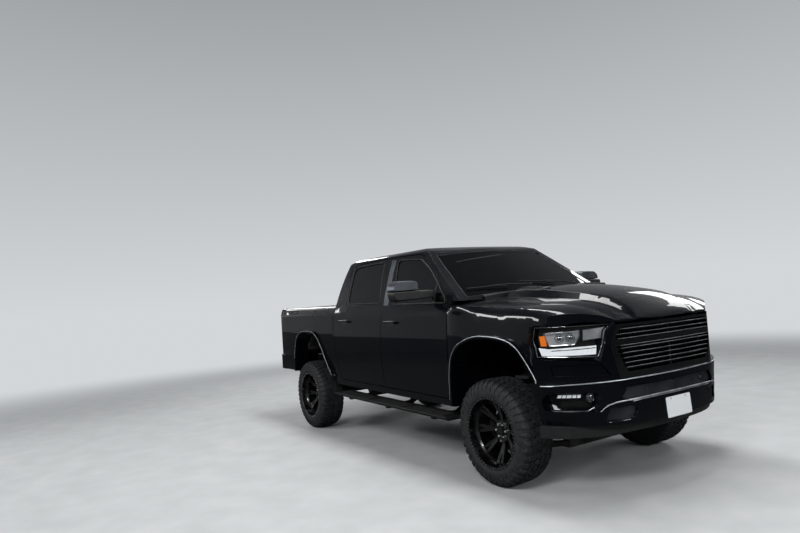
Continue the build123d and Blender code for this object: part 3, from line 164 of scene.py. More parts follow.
# Each finish: the record's slot that it belongs to, and its surface
surfaces = {
    # basecoat with no shine of its own under a deep smooth lacquer; the orange peel is drawn at 11 mm so that
    # it shows, and a thin film of dust dulls the coat in patches
    "paint": ("body_paint", ("clearcoatBlackPaint", "#04050a", 0.4, {
        "Specular_IOR_Level": 0.05, "Coat_Weight": 0.85, "Coat_Roughness": 0.015, "Coat_IOR": 1.4},
        [("Noise", 90.0, {"Detail": 1.0}, [(bumpFrom, 0.00006, 0.35, "Coat Normal")]),
         ("Noise", 1.3, {"Detail": 5.0}, [(mottle, 0.3, 0.55)])])),
    # the same paint on the tub, thinner and duller
    "cabPaint": ("cab_paint", ("innerBlackPaint", "#07080a", 0.42, {
        "Coat_Weight": 0.5, "Coat_Roughness": 0.08}, [("Noise", 140.0, {"Detail": 3.0}, [(mottle, 0.38, 0.55)])])),
    # privacy glass, nearly black and mirror smooth, with the slow wave of toughened glass
    "tintedGlass": ("tinted_glass", ("tintedGlass", "#040506", 0.02, {
        "IOR": 1.52, "Coat_Weight": 0.3, "Coat_Roughness": 0.01, "Alpha": 0.9},
        [("Noise", 2.2, {"Detail": 0.0}, [(bumpFrom, 0.002, 0.12)])])),
    # laminated windshield, clearer than the side glass
    "screenGlass": ("tinted_glass", ("laminatedGlass", "#060809", 0.02, {
        "IOR": 1.52, "Coat_Weight": 0.4, "Coat_Roughness": 0.01, "Alpha": 0.7},
        [("Noise", 1.6, {"Detail": 0.0}, [(bumpFrom, 0.002, 0.1)])])),
    # moulded parts, from dull bumper plastic to window rubber; the mesh plastic set deep in the lamps, the grille and
    # the bumper's openings is coloured darker than the trim, a painted shade for those recesses
    "blackTrim": ("black_trim", moulded("mouldedPolypropylene", "#151617", 0.5, 600.0, 0.0005)),
    "meshPlastic": ("mesh", moulded("meshPolypropylene", "#0b0b0c", 0.45, 600.0, 0.0003)),
    "dashPlastic": ("dash_plastic", moulded("softTouchDash", "#1b1b1b", 0.65, 500.0, 0.0006)),
    "sealRubber": ("black_trim", moulded("windowSealEpdm", "#0c0c0d", 0.6, 900.0, 0.0002)),
    # piano black ABS of the grille
    "glossTrim": ("gloss_trim", ("pianoBlackAbs", "#08090a", 0.12, {
        "IOR": 1.54, "Coat_Weight": 0.5, "Coat_Roughness": 0.05}, [("Noise", 30.0, {"Detail": 3.0},
                                                                    [(mottle, 0.1, 0.17)])])),
    # wax-coated chassis steel with road dust
    "framePaint": ("frame_paint", ("chassisBlack", "#161616", 0.55, {"IOR": 1.5}, [
        ("Noise", 9.0, {"Detail": 6.0, "Roughness": 0.7}, [(tint, "#101010", "#25221f", 0.45, 0.75),
                                                           (mottle, 0.45, 0.8), (bumpFrom, 0.0006, 0.4)])])),
    # sand-cast iron and alloy housings, grey with a pebbled skin
    "castings": ("castings", ("castHousing", "#4a4a49", 0.6, {"Metallic": 0.7}, [
        ("Noise", 320.0, {"Detail": 2.0}, [(bumpFrom, 0.0008, 0.5)]),
        ("Noise", 7.0, {"Detail": 5.0}, [(tint, "#2c2a28", "#565655", 0.35, 0.7)])])),
    # gloss black powder coat on a cast alloy wheel
    "wheelPaint": ("wheel_paint", ("wheelPowderCoat", "#050506", 0.22, {
        "Coat_Weight": 0.8, "Coat_Roughness": 0.05},
        [("Noise", 400.0, {"Detail": 1.0}, [(bumpFrom, 0.00003, 0.5)]), ("Noise", 12.0, {"Detail": 4.0},
                                                                         [(mottle, 0.16, 0.36)])])),
    # carbon-black rubber, grey with wear on the blocks and dusty in the low places
    "rubber": ("tread", ("tyreRubber", "#17181a", 0.72, {"IOR": 1.5}, [
        ("Noise", 18.0, {"Detail": 6.0, "Roughness": 0.65}, [(tint, "#141618", "#2c2e31", 0.4, 0.8),
                                                             (mottle, 0.55, 0.8)]),
        ("Noise", 500.0, {"Detail": 2.0}, [(bumpFrom, 0.0003, 0.4)])])),
    # aluminised exhaust steel, then plated and painted brightwork from mirror bright to satin grey; some of it is laid
    # on black parts as painted highlights and reflections
    "pipe": ("pipe", metal("aluminisedSteel", "#4f4740", "#8b8780", 0.36, 5.0)),
    "chrome": ("gloss_trim", metal("platedChrome", "#b9bcc0", "#dfe2e6", 0.06, 20.0)),
    "darkChrome": ("gloss_trim", metal("smokedChrome", "#5c6066", "#8d9298", 0.16, 12.0)),
    # bright beads where the black paint only shows a highlight: painted highlights
    "paintedHighlightTrim": ("gloss_trim", metal("paintedHighlightBead", "#aab0b6", "#d4d8dc", 0.38, 12.0)),
    # the reflector silver also draws a bright line on each black grille bar, a painted highlight
    "lampSilverAndPaintedHighlight": ("gloss_trim", metal("aluminisedReflectorAndPaintedHighlight", "#9a9ea3", "#c9ccd0", 0.45, 8.0)),
    # the satin grey is also laid on the black mirror caps and bumper mesh wires as a painted reflection of the sky
    "satinTrimAndPaintedReflection": ("gloss_trim", metal("satinGreyVinylAndPaintedReflection", "#4d5156", "#62676d", 0.42, 9.0)),
    "boltSteel": ("castings", metal("zincPlatedSteel", "#8b8c8e", "#c6c7c9", 0.22, 90.0)),
    "mirrorGlass": ("tinted_glass", metal("silveredGlass", "#9aa0a6", "#b4b9be", 0.02, 3.0)),
    # black upholstery leather: pebble grain and soft sheen
    "leather": ("upholstery", ("seatLeather", "#151413", 0.48, {"Sheen_Weight": 0.15}, [
        ("Voronoi", 420.0, {"feature": "SMOOTH_F1"}, [(bumpFrom, 0.0008, 0.6)]),
        ("Noise", 6.0, {"Detail": 3.0}, [(mottle, 0.4, 0.58)])])),
    "seamThread": ("upholstery", moulded("pipingThread", "#0d0c0c", 0.7, 700.0, 0.0002)),
    "springSteel": ("frame_paint", metal("powderCoatedSpring", "#101113", "#1b1c1f", 0.34, 14.0)),
    # sprayed bed liner: coarse pebbled polyurea
    "bedCoating": ("bed_coating", ("sprayedBedLiner", "#141415", 0.72, {}, [
        ("Voronoi", 190.0, {"feature": "SMOOTH_F1"}, [(bumpFrom, 0.0016, 0.8)]),
        ("Noise", 4.0, {"Detail": 5.0}, [(tint, "#111112", "#222120", 0.4, 0.75)])])),
    # lamp covers, clear and red, and the milky guides behind them
    "clearLens": ("lamp_lens", lens("clearPolycarbonate", "#0d0f11", 0.1)),
    "redLens": ("tail_lens", lens("redPolycarbonate", "#4a0205", 0.86)),
    "whiteGuide": ("lamp_lens", diffuser("milkyAcrylic", "#c3ccd4", "#f2f5f8", 0.25)),
    "amberGuide": ("lamp_lens", diffuser("amberAcrylic", "#b9480c", "#f0801e", 0.2)),
    "redGuide": ("tail_lens", diffuser("redAcrylic", "#6d0308", "#b5121a", 0.1)),
    # white enamel of the blank plates, and the dark glass of the display
    "plateEnamel": ("body_paint", moulded("plateEnamel", "#e4e7ea", 0.35, 300.0, 0.0001)),
    "screenDisplay": ("dash_plastic", moulded("displayGlass", "#07090c", 0.12, 30.0, 0.00005)),
}
finishes = {finish: makeFinish(*surface) for finish, (_, surface) in surfaces.items()}
print("materials made:", len(finishes))


# Mesh tools; every outline is in millimetres on the level truck

def markEdges(bm, sharp):
    # smooth faces, with a hard edge where two of them meet at more than an angle in degrees
    for face in bm.faces:
        face.smooth = True
    for edge in bm.edges:
        edge.smooth = len(edge.link_faces) == 2 and edge.calc_face_angle(0) < math.radians(sharp)


def roundEdges(piece, width, segments, sharp):
    rounding = piece.modifiers.new("roundedEdges", "BEVEL")
    rounding.width = width
    rounding.segments = segments
    rounding.limit_method = "ANGLE"
    rounding.angle_limit = math.radians(sharp)
    rounding.harden_normals = True


def finishPiece(bm, name, finish, body="chassis", place=sprung, replaced=(), bevel=0.0, segments=2, sharp=35):
    # brings a mesh to the frame, points its faces outwards and gives it a finish and a body
    bmesh.ops.transform(bm, matrix=place, verts=bm.verts)
    bmesh.ops.recalc_face_normals(bm, faces=bm.faces)
    markEdges(bm, sharp)
    mesh = bpy.data.meshes.new(name)
    bm.to_mesh(mesh)
    bm.free()
    piece = bpy.data.objects.new(name, mesh)
    bpy.context.scene.collection.objects.link(piece)
    mesh.materials.append(finishes[finish])
    if bevel:
        roundEdges(piece, bevel, segments, sharp)
    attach(piece, body)
    if replaced:
        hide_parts(*replaced)
    return piece


def addBlock(bm, low, high):
    # a box between two corners
    size = [abs(high[i] - low[i]) for i in range(3)]
    middle = [(high[i] + low[i]) / 2 for i in range(3)]
    bmesh.ops.create_cube(bm, size=1, matrix=Matrix.Translation(middle) @ Matrix.Diagonal((*size, 1)))


def addRod(bm, start, end, radius, sides=16, endRadius=None):
    # a round bar between two points, or a cone
    run = Vector(end) - Vector(start)
    turn = run.to_track_quat("Z", "Y").to_matrix().to_4x4()
    place = Matrix.Translation((Vector(start) + Vector(end)) / 2) @ turn
    bmesh.ops.create_cone(bm, cap_ends=True, segments=sides, radius1=radius, depth=run.length, matrix=place,
                          radius2=radius if endRadius is None else endRadius)


def blockPiece(name, finish, blocks, bothSides=False, **more):
    # a piece made of blocks, each between two corners
    bm = bmesh.new()
    for low, high in blocks:
        addBlock(bm, low, high)
    if bothSides:
        mirrored(bm)
    finishPiece(bm, name, finish, **more)


def addPrism(bm, outline, run):
    # a flat outline, extruded along a vector
    face = bm.faces.new([bm.verts.new(point) for point in outline])
    moved = [item for item in bmesh.ops.extrude_face_region(bm, geom=[face])["geom"]
             if isinstance(item, bmesh.types.BMVert)]
    bmesh.ops.translate(bm, verts=moved, vec=run)


def addLathe(bm, rows, centre, axis, steps=32):
    # a closed outline of (radius, along) turned about an axis
    turn = Vector(axis).to_track_quat("Z", "Y").to_matrix().to_4x4()
    place = Matrix.Translation(centre) @ turn
    verts = [bm.verts.new(place @ Vector((radius, 0, along))) for radius, along in rows]
    edges = [bm.edges.new(ends) for ends in zip(verts, verts[1:] + verts[:1])]
    bmesh.ops.spin(bm, geom=verts + edges, cent=centre, axis=axis, angle=math.tau, steps=steps, use_merge=True)
    bmesh.ops.remove_doubles(bm, verts=bm.verts, dist=0.01)


def addBead(bm, points, radius, closed=False, sides=8):
    # a round bead along a line of points
    line = bpy.data.curves.new("bead", "CURVE")
    line.dimensions = "3D"
    line.bevel_depth = radius
    line.bevel_resolution = max(0, sides // 2 - 2)
    line.use_fill_caps = True
    spline = line.splines.new("POLY")
    spline.points.add(len(points) - 1)
    for spot, point in zip(spline.points, points):
        spot.co = (*point, 1)
    spline.use_cyclic_u = closed
    holder = bpy.data.objects.new("bead", line)
    mesh = bpy.data.meshes.new_from_object(holder)
    bm.from_mesh(mesh)
    bpy.data.objects.remove(holder)
    bpy.data.curves.remove(line)
    bpy.data.meshes.remove(mesh)


def stepped(line, steps, closed=True):
    # points at even shares of each stretch of an outline; an open one ends before its last point
    ends = list(zip(line, line[1:] + (line[:1] if closed else [])))
    return [Vector(here).lerp(Vector(there), step / steps) for here, there in ends for step in range(steps)]


def bowed(rows, steps=6, closed=True):
    # the points of an outline whose rows give two coordinates and the next stretch's bow to the right
    points = []
    for (across, up, bow), follower in zip(rows, rows[1:] + (rows[:1] if closed else [])):
        points.append(Vector((across, up)))
        if bow:
            run = Vector((follower[0] - across, follower[1] - up))
            radius = (run.length ** 2 / 4 + bow ** 2) / (2 * bow)
            side = Vector((run.y, -run.x)).normalized()
            for step in range(1, steps):
                along = (step / steps - 0.5) * run.length
                rise = math.copysign(math.sqrt(radius ** 2 - along ** 2), bow) - (radius - bow)
                points.append(Vector((across, up)) + run * step / steps + side * rise)
    if not closed:
        points.append(Vector(rows[-1][:2]))
    return points


def sliced(bm, axis, places):
    # cuts every face at some places along an axis, so that a bend can follow
    normal = Vector((axis == "x", axis == "y", axis == "z"))
    for place in places:
        geometry = bm.verts[:] + bm.edges[:] + bm.faces[:]
        bmesh.ops.bisect_plane(bm, geom=geometry, plane_co=normal * place, plane_no=normal, dist=0.001)


def bent(bm, mapping):
    # moves every point to where a shaping function puts it
    for vert in bm.verts:
        vert.co = mapping(vert.co)


def mirrored(bm):
    # adds the mirror image across the truck's middle
    bmesh.ops.mirror(bm, geom=bm.verts[:] + bm.edges[:] + bm.faces[:], matrix=Matrix.Identity(4), merge_dist=0.0001,
                     axis="Y")


def smoothCopy(node, body, finish, bevel, sharp=32):
    # a glossy piece from its CAD node: doubles merged, flats joined, edges rounded and normals hardened
    mesh = frame["nodes"][node].data.copy()
    piece = bpy.data.objects.new(node + "_skin", mesh)
    bpy.context.scene.collection.objects.link(piece)
    bm = bmesh.new()
    bm.from_mesh(mesh)
    bmesh.ops.remove_doubles(bm, verts=bm.verts, dist=0.0002)
    bmesh.ops.dissolve_degenerate(bm, edges=bm.edges, dist=0.0001)
    bmesh.ops.dissolve_limit(bm, angle_limit=math.radians(0.4), verts=bm.verts, edges=bm.edges)
    for face in bm.faces:
        face.material_index = 0
    markEdges(bm, sharp)
    bm.to_mesh(mesh)
    bm.free()
    roundEdges(piece, bevel, 2, sharp)
    mesh.materials.clear()
    mesh.materials.append(finishes[finish])
    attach(piece, body)
    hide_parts(node)
    return piece


# Panels and other pieces whose CAD shape stays

bodyOf = {node: body for body, nodes in frame["record"]["behaviour"]["bodies"].items() for node in nodes}
panelFinish = {
    "paint": ["roof", "cab_sides", "front_door_left", "front_door_right", "rear_door_left", "rear_door_right", "hood",
              "fenders", "front_fascia", "front_bumper", "bed_sides", "tailgate", "rear_bumper"],
    "glossTrim": ["grille"],
    "wheelPaint": ["front_wheel_left", "front_wheel_right", "rear_wheel_left", "rear_wheel_right"],
    "tintedGlass": ["front_door_glass_left", "front_door_glass_right", "rear_door_glass_left",
                    "rear_door_glass_right"],
    "clearLens": ["front_lamps"],
    "redLens": ["tail_lamps"],
    "blackTrim": ["running_boards", "air_dam"],
    "framePaint": ["rear_axle", "front_arms"],
    "castings": ["front_differential", "driveline", "knuckle_left", "knuckle_right"],
}
for finish, nodes in panelFinish.items():
    for node in nodes:
        thin = "Glass" in finish or "Lens" in finish
        smoothCopy(node, bodyOf[node], finish, bevel=0.001 if thin else 0.0025)
print("panels smoothed")

nodeFinish = {
    "cab_tub": "cabPaint", "cab_glass": "screenGlass", "bumper_inserts": "meshPlastic", "bed_floor": "bedCoating",
    "frame_rails": "framePaint", "engine_block": "castings", "exhaust": "pipe", "fuel_tank": "blackTrim",
    "dashboard": "dashPlastic",
}
for node, finish in nodeFinish.items():
    solid = frame["nodes"][node]
    solid.data.materials.clear()
    solid.data.materials.append(finishes[finish])
print("frame nodes dressed")


# Tyres and wheels

tyreShape = {
    # across, radius and lean of the tread's ground, from the middle out
    "path": [(0, 423.5, 0), (60, 423, 2), (96, 421, 8), (122, 415, 28), (138, 404, 50), (147, 390, 68), (152, 368, 84),
             (157, 345, 86)],
    "sidewall": [(159, 330), (157, 312), (154, 305), (154, 297), (148, 292), (138, 286), (138, 300), (142, 350),
                 (130, 392), (90, 406)],
    "inside": 407,
    "repeats": 21,
    "pitch": 130,
    "depth": 11.2,
    "lugDepth": 5.5,
    "fade": (112, 70),
    "root": -3,
    "rootRise": 1.6,
    "crown": (2.0, 1.4),
    "bends": (110, 122.5, 132, 142, 151, 160, 171),
    "rings": 126,
}
# Blocks of one repeat, developed flat: distance out from the middle, distance round the tyre
treadBlocks = [
    [(4, 4), (27, 0), (31, 15), (52, 20), (50, 45), (29, 49), (7, 38)],
    [(4, 69), (27, 65), (31, 80), (52, 85), (50, 110), (29, 114), (7, 103)],
    [(59, -6), (88, -12), (93, 8), (91, 36), (64, 42), (57, 20)],
    [(59, 59), (88, 53), (93, 73), (91, 101), (64, 107), (57, 85)],
    [(99, -10), (130, -14), (180, -12), (182, 18), (130, 22), (101, 26)],
    [(99, 55), (130, 51), (160, 52), (162, 84), (130, 88), (101, 91)],
    [(190, -6), (206, -6), (206, 16), (190, 16)],
    [(172, 62), (206, 62), (206, 78), (172, 78)],
]


def treadPoint(flat):
    # wraps a flat point (distance out, distance round, height) on to the tyre
    side = 1 if flat.x >= 0 else -1
    left = abs(flat.x)
    path = tyreShape["path"]
    for here, there in zip(path, path[1:]):
        stretch = math.hypot(there[0] - here[0], there[1] - here[1])
        if left <= stretch or there is path[-1]:
            break
        left -= stretch
    across, radius, lean = (a + left / stretch * (b - a) for a, b in zip(here, there))
    lean = math.radians(lean)
    fadeStart, fadeLength = tyreShape["fade"]
    fade = min(1, max(0, (abs(flat.x) - fadeStart) / fadeLength))
    height = flat.z * (1 + fade * (tyreShape["lugDepth"] / tyreShape["depth"] - 1))
    reach = radius + height * math.cos(lean)
    around = flat.y / (tyreShape["pitch"] * tyreShape["repeats"]) * math.tau
    return Vector((reach * math.sin(around), side * (across + height * math.sin(lean)), reach * math.cos(around)))


def buildTyre():
    # the tread's blocks on both halves of one repeat, spun round, and the casing under them
    bm = bmesh.new()
    inset, rise = tyreShape["crown"]
    shift = {1: 0, -1: tyreShape["pitch"] / 4}  # the two halves are staggered
    for side, along in shift.items():
        for outline in treadBlocks:
            foot = [bm.verts.new((side * out, around + along, tyreShape["root"])) for out, around in outline]
            moved = bmesh.ops.extrude_face_region(bm, geom=[bm.faces.new(foot)])["geom"]
            top = [item for item in moved if isinstance(item, bmesh.types.BMFace)]
            bmesh.ops.translate(bm, verts=[item for item in moved if isinstance(item, bmesh.types.BMVert)],
                                vec=(0, 0, tyreShape["depth"] + tyreShape["rootRise"]))
            bmesh.ops.inset_region(bm, faces=top, thickness=inset, depth=rise)
    sliced(bm, "x", [sign * place for sign in (1, -1) for place in tyreShape["bends"]])
    bent(bm, treadPoint)
    repeats = tyreShape["repeats"]
    bmesh.ops.spin(bm, geom=bm.verts[:] + bm.edges[:] + bm.faces[:], cent=(0, 0, 0), axis=(0, 1, 0),
                   angle=math.tau * (repeats - 1) / repeats, steps=repeats - 1, use_duplicate=True)
    middle = tyreShape["path"][0][:2]
    half = [(across, radius) for across, radius, _ in tyreShape["path"][1:]] + tyreShape["sidewall"]
    ring = [middle] + half + [(0, tyreShape["inside"])] + [(-across, radius) for across, radius in half[::-1]]
    verts = [bm.verts.new((0, across, radius)) for across, radius in ring]
    edges = [bm.edges.new(ends) for ends in zip(verts, verts[1:] + verts[:1])]
    bmesh.ops.spin(bm, geom=verts + edges, cent=(0, 0, 0), axis=(0, 1, 0), angle=math.tau,
                   steps=tyreShape["rings"], use_merge=True)
    return bm


wheelShape = {
    "rivets": 60,
    "rivetCircle": 282,
    "rivetRadius": 5.6,
    "rivetTip": 0.55,
    "rivetSpan": (148, 155),
    "nuts": 6,
    "nutCircle": 56,
    # a nut's rods: from, to, radius, sides and the radius at the end
    "nutRods": [(10, 20, 13, 16, None), (20, 40, 10.5, 6, None), (40, 45, 9, 12, 5)],
    "cap": [(0, 10), (38, 10), (38, 40), (34, 46), (28, 47), (26, 44), (0, 45)],
    "valve": ((185, 96, 180), (178, 122, 172), 4.5),
}


def buildWheelFittings():
    # a ring of rivets round the rim and six lug nuts; the wheel's outer side is +y
    bm = bmesh.new()
    radius, (foot, head) = wheelShape["rivetRadius"], wheelShape["rivetSpan"]
    for turn in range(wheelShape["rivets"]):
        place = Matrix.Rotation(math.tau * turn / wheelShape["rivets"], 4, "Y")
        start, end = (place @ Vector((0, out, wheelShape["rivetCircle"])) for out in (foot, head))
        addRod(bm, start, end, radius, 8, radius * wheelShape["rivetTip"])
    for turn in range(wheelShape["nuts"]):
        place = Matrix.Rotation(math.tau * (turn + 0.5) / wheelShape["nuts"], 4, "Y")
        for foot, head, radius, sides, endRadius in wheelShape["nutRods"]:
            start, end = (place @ Vector((0, out, wheelShape["nutCircle"])) for out in (foot, head))
            addRod(bm, start, end, radius, sides, endRadius)
    return bm


def buildWheelCap():
    # a plain centre cap and the tyre's valve
    bm = bmesh.new()
    addLathe(bm, wheelShape["cap"], (0, 0, 0), (0, 1, 0), 40)
    start, end, radius = wheelShape["valve"]
    addRod(bm, start, end, radius, 10)
    return bm


tyreMesh = buildTyre()
fittingsMesh = buildWheelFittings()
capMesh = buildWheelCap()
for row, along in (("front", 0), ("rear", -truck["wheelbase"])):
    for side, turn in (("left", 0), ("right", math.pi)):
        out = truck["wheelY"] * (1 if side == "left" else -1)
        hub = Matrix.Translation((truck["frontAxle"] + along, out, truck["tyreRadius"]))
        place = hub @ Matrix.Rotation(turn, 4, "Z") @ millimetres
        wheelBody = bodyOf[f"{row}_wheel_{side}"]
        finishPiece(tyreMesh.copy(), f"{row}MudTyre_{side}", "rubber", wheelBody, place, (f"{row}_tyre_{side}",))
        finishPiece(fittingsMesh.copy(), f"{row}RimRivets_{side}", "boltSteel", wheelBody, place)
        finishPiece(capMesh.copy(), f"{row}WheelCap_{side}", "glossTrim", wheelBody, place)
for mesh in (tyreMesh, fittingsMesh, capMesh):
    mesh.free()
print("tyres and wheels made")


# Nose: lamps, fog lamps, painted highlight beads, meshes and the blank plate

# Plans of the nose above the bumper and of the bumper's two edges, left side: across, along, bow
nosePlans = {
    "lamp": [(1080, -100, 0), (992, 440, 20), (930, 640, 8), (800, 790, 4), (600, 915, 10), (500, 945, 4),
             (0, 961, 0)],
    "ridge": [(1062, 300, 0), (1062, 505, 4), (1045, 611, 8), (1000, 690, 26), (565, 940, 12.5), (0, 990, 0)],
    "foot": [(950, 300, 0), (950, 524, 6), (903, 630, 4), (834, 750, 26), (478, 975, 8), (0, 1011, 0)],
}
bumperHeights = (560, 885)
plans = {name: bowed(rows, 8, closed=False) for name, rows in nosePlans.items()}


def planAlong(name, across):
    # how far forward a plan reaches at a distance from the middle, and the way it faces
    line = plans[name]
    for here, there in zip(line, line[1:]):
        if there.x <= abs(across) <= here.x:
            share = (here.x - abs(across)) / max(here.x - there.x, 0.001)
            facing = Vector((there.y - here.y, here.x - there.x)).normalized()
            return here.y + share * (there.y - here.y), facing
    return line[-1].y, Vector((0, 1))


def behind(along, facing, point):
    # the place of (across, depth, up) behind a face that is this far along and faces that way
    side = 1 if point.x >= 0 else -1
    return Vector((along - point.y * facing.y, point.x - side * point.y * facing.x, point.z))


def onNose(point):
    # (across, depth behind the surface, up) to its place on the nose
    along, facing = planAlong("lamp", point.x)
    return behind(along, facing, point)


def onBumper(point):
    # (across, depth behind the surface, up) to its place on the bumper's leaning face
    low, high = bumperHeights
    share = (point.z - low) / (high - low)
    foot, facing = planAlong("foot", min(abs(point.x), nosePlans["foot"][0][0] - 1))
    ridge = planAlong("ridge", point.x)[0]
    return behind(foot + (ridge - foot) * share, facing, point)


def addOnFace(bm, outline, front, back, mapping, cuts=()):
    # an outline of (across, up) as a plate between two depths, bent on to the nose or the bumper
    flat = bmesh.new()
    addPrism(flat, [(across, front, up) for across, up in outline], (0, back - front, 0))
    sliced(flat, "x", cuts)
    bent(flat, mapping)
    mesh = bpy.data.meshes.new("plate")
    flat.to_mesh(mesh)
    flat.free()
    bm.from_mesh(mesh)
    bpy.data.meshes.remove(mesh)


lampCuts = [580 + 24 * step for step in range(18)]
headlamp = {
    "housing": [(984, 1072), (690, 1062), (662, 1144), (640, 1250), (600, 1294), (986, 1292), (990, 1200)],
    "guide": [(982, 1138), (950, 1128), (815, 1138), (695, 1142), (702, 1078), (974, 1078)],
    "guideSlots": [(936, 1120), (700, 1130), (700, 1124), (936, 1113)],
    "amber": [(978, 1226), (962, 1228), (954, 1152), (974, 1152)],
    "window": [(964, 1246), (790, 1262), (792, 1222), (826, 1158), (944, 1152), (966, 1222)],
    "inner": [(770, 1262), (632, 1276), (652, 1196), (776, 1184)],
    # name: finish, plates as (outline, front, back), rings as (outline, radius, depth)
    "pieces": {
        "lampHousing": ("meshPlastic", [("housing", 66, 78)], []),
        "lampBowls": ("lampSilverAndPaintedHighlight", [("window", 50, 56)], []),
        "lampGuides": ("whiteGuide", [("guide", 16, 30)], []),
        "lampMarkers": ("amberGuide", [("amber", 14, 30)], []),
        "lampReflectors": ("lampSilverAndPaintedHighlight", [("inner", 30, 36)], []),
        "lampBezels": ("chrome", [("guideSlots", 13, 17)],
                       [("window", 3.2, 26), ("housing", 3.5, 8), ("inner", 2.5, 26)]),
    },
    "projectors": [(902, 1204), (846, 1208)],
    "projectorDepth": 52,
    "eye": [(0, -14), (24, -14), (24, 0), (20, 8), (11, 13), (0, 15)],
    "eyeRim": [(25, -16), (34, 6), (31, 8), (24.5, -6)],
    "backing": (58, 62),
}


def rimOf(outline, width):
    # an outline grown outwards from its middle, for a bezel
    middle = sum((Vector(point) for point in outline), Vector((0, 0))) / len(outline)
    return [tuple(middle + (Vector(point) - middle) * (1 + width / (Vector(point) - middle).length))
            for point in outline]


def addRing(bm, outline, radius, depth, mapping):
    # a bead along an outline of (across, up), bent on to a face
    points = [mapping(Vector((point.x, depth, point.y))) for point in stepped(outline, 6)]
    addBead(bm, points, radius, closed=True, sides=6)


def buildHeadlamps():
    # each lamp's housing, guides and markers, then the two projectors and their rims
    for name, (finish, plates, rings) in headlamp["pieces"].items():
        bm = bmesh.new()
        for outline, front, back in plates:
            addOnFace(bm, headlamp[outline], front, back, onNose, lampCuts)
        for outline, radius, depth in rings:
            addRing(bm, headlamp[outline], radius, depth, onNose)
        mirrored(bm)
        finishPiece(bm, name, finish, bevel=0.0012)
    eyes = bmesh.new()
    rims = bmesh.new()
    for across, up in headlamp["projectors"]:
        facing = planAlong("lamp", across)[1]
        ahead = Vector((facing.y, facing.x, 0))
        seat = onNose(Vector((across, headlamp["projectorDepth"], up)))
        addLathe(eyes, headlamp["eye"], seat, ahead, 24)
        addLathe(rims, headlamp["eyeRim"], seat, ahead, 28)
    addOnFace(rims, headlamp["window"], *headlamp["backing"], onNose, lampCuts)
    mirrored(eyes)
    mirrored(rims)
    finishPiece(eyes, "lampProjectors", "mirrorGlass")
    finishPiece(rims, "lampProjectorRings", "darkChrome")


fogLamp = {
    "pod": [(984, 790), (940, 803), (752, 797), (742, 745), (747, 704), (791, 677), (942, 677), (972, 720)],
    "podDepths": (60, 66),
    "sill": [(930, 742), (800, 742), (800, 700), (925, 700)],
    "sillDepths": (34, 60),
    "bars": 5,
    "barStart": 958,
    "barPitch": 25,
    "barWidth": 19,
    "barHeights": (770, 792),
    "barDepths": (26, 40),
    "rim": [(980, 724), (944, 672), (789, 672), (742, 706)],
    "rimDepth": 4,
    "rimRadius": 5.5,
    "seat": (780, 34, 768),
    "ahead": (0.88, 0.47, 0),
    "eyeRim": [(25, -10), (33, 12), (29, 13), (22, 0)],
    "eye": [(0, -10), (25, -10), (25, 4), (17, 9), (0, 11)],
}


def buildFogLamps():
    # each pod's housing, its row of light bars, and the round lamp with its rim
    housing = bmesh.new()
    addOnFace(housing, rimOf(fogLamp["pod"], -4), *fogLamp["podDepths"], onBumper, lampCuts)
    addOnFace(housing, fogLamp["sill"], *fogLamp["sillDepths"], onBumper, lampCuts)
    mirrored(housing)
    finishPiece(housing, "fogHousings", "meshPlastic", bevel=0.002)
    bars = bmesh.new()
    low, high = fogLamp["barHeights"]
    for step in range(fogLamp["bars"]):
        outer = fogLamp["barStart"] - step * fogLamp["barPitch"]
        inner = outer - fogLamp["barWidth"]
        outline = [(outer, high), (inner, high), (inner, low), (outer, low)]
        addOnFace(bars, outline, *fogLamp["barDepths"], onBumper)
    mirrored(bars)
    finishPiece(bars, "fogLightBars", "whiteGuide", bevel=0.0015)
    rims = bmesh.new()
    eyes = bmesh.new()
    seat = onBumper(Vector(fogLamp["seat"]))
    ahead = Vector(fogLamp["ahead"])
    addLathe(rims, fogLamp["eyeRim"], seat, ahead, 28)
    addLathe(eyes, fogLamp["eye"], seat, ahead, 24)
    lower = stepped(fogLamp["rim"], 5, closed=False)
    addBead(rims, [onBumper(Vector((point.x, fogLamp["rimDepth"], point.y))) for point in lower],
            fogLamp["rimRadius"])
    mirrored(rims)
    mirrored(eyes)
    finishPiece(rims, "fogRims", "darkChrome")
    finishPiece(eyes, "fogProjectors", "mirrorGlass")


bumperTrim = {
    "slotHighlight": [(715, 664), (690, 690), (664, 707), (610, 722), (552, 728), (380, 734), (198, 738), (0, 739)],
    "slotSillHighlight": [(548, 714), (380, 722), (200, 726), (0, 727)],
    "ridgeHighlight": [(1046, 868), (960, 872), (860, 874), (740, 876), (640, 878), (560, 880), (400, 881),
                      (200, 881), (0, 881)],
    # name: radius, depth
    "highlightBeads": {"slotHighlight": (7, 2), "slotSillHighlight": (4, 3), "ridgeHighlight": (5, 0)},
    "podRim": [(500, 592), (664, 582), (684, 610), (652, 690), (456, 697)],
    "podRimBead": (4, 2),
    "meshPitch": 22,
    "meshWire": 2.6,
    "meshDepths": (16, 21),
    "sensors": [(370, 784), (-317, 784)],
    "sensorDepth": 18,
    "sensor": [(0, -12), (14, -12), (14, 8), (12, 10), (11, 8), (9, 9), (0, 9)],
}
meshFields = {
    "slot": {"across": (4, 548), "up": (742, 820)},
    "pod": {"across": (456, 676), "up": (594, 686)},
}


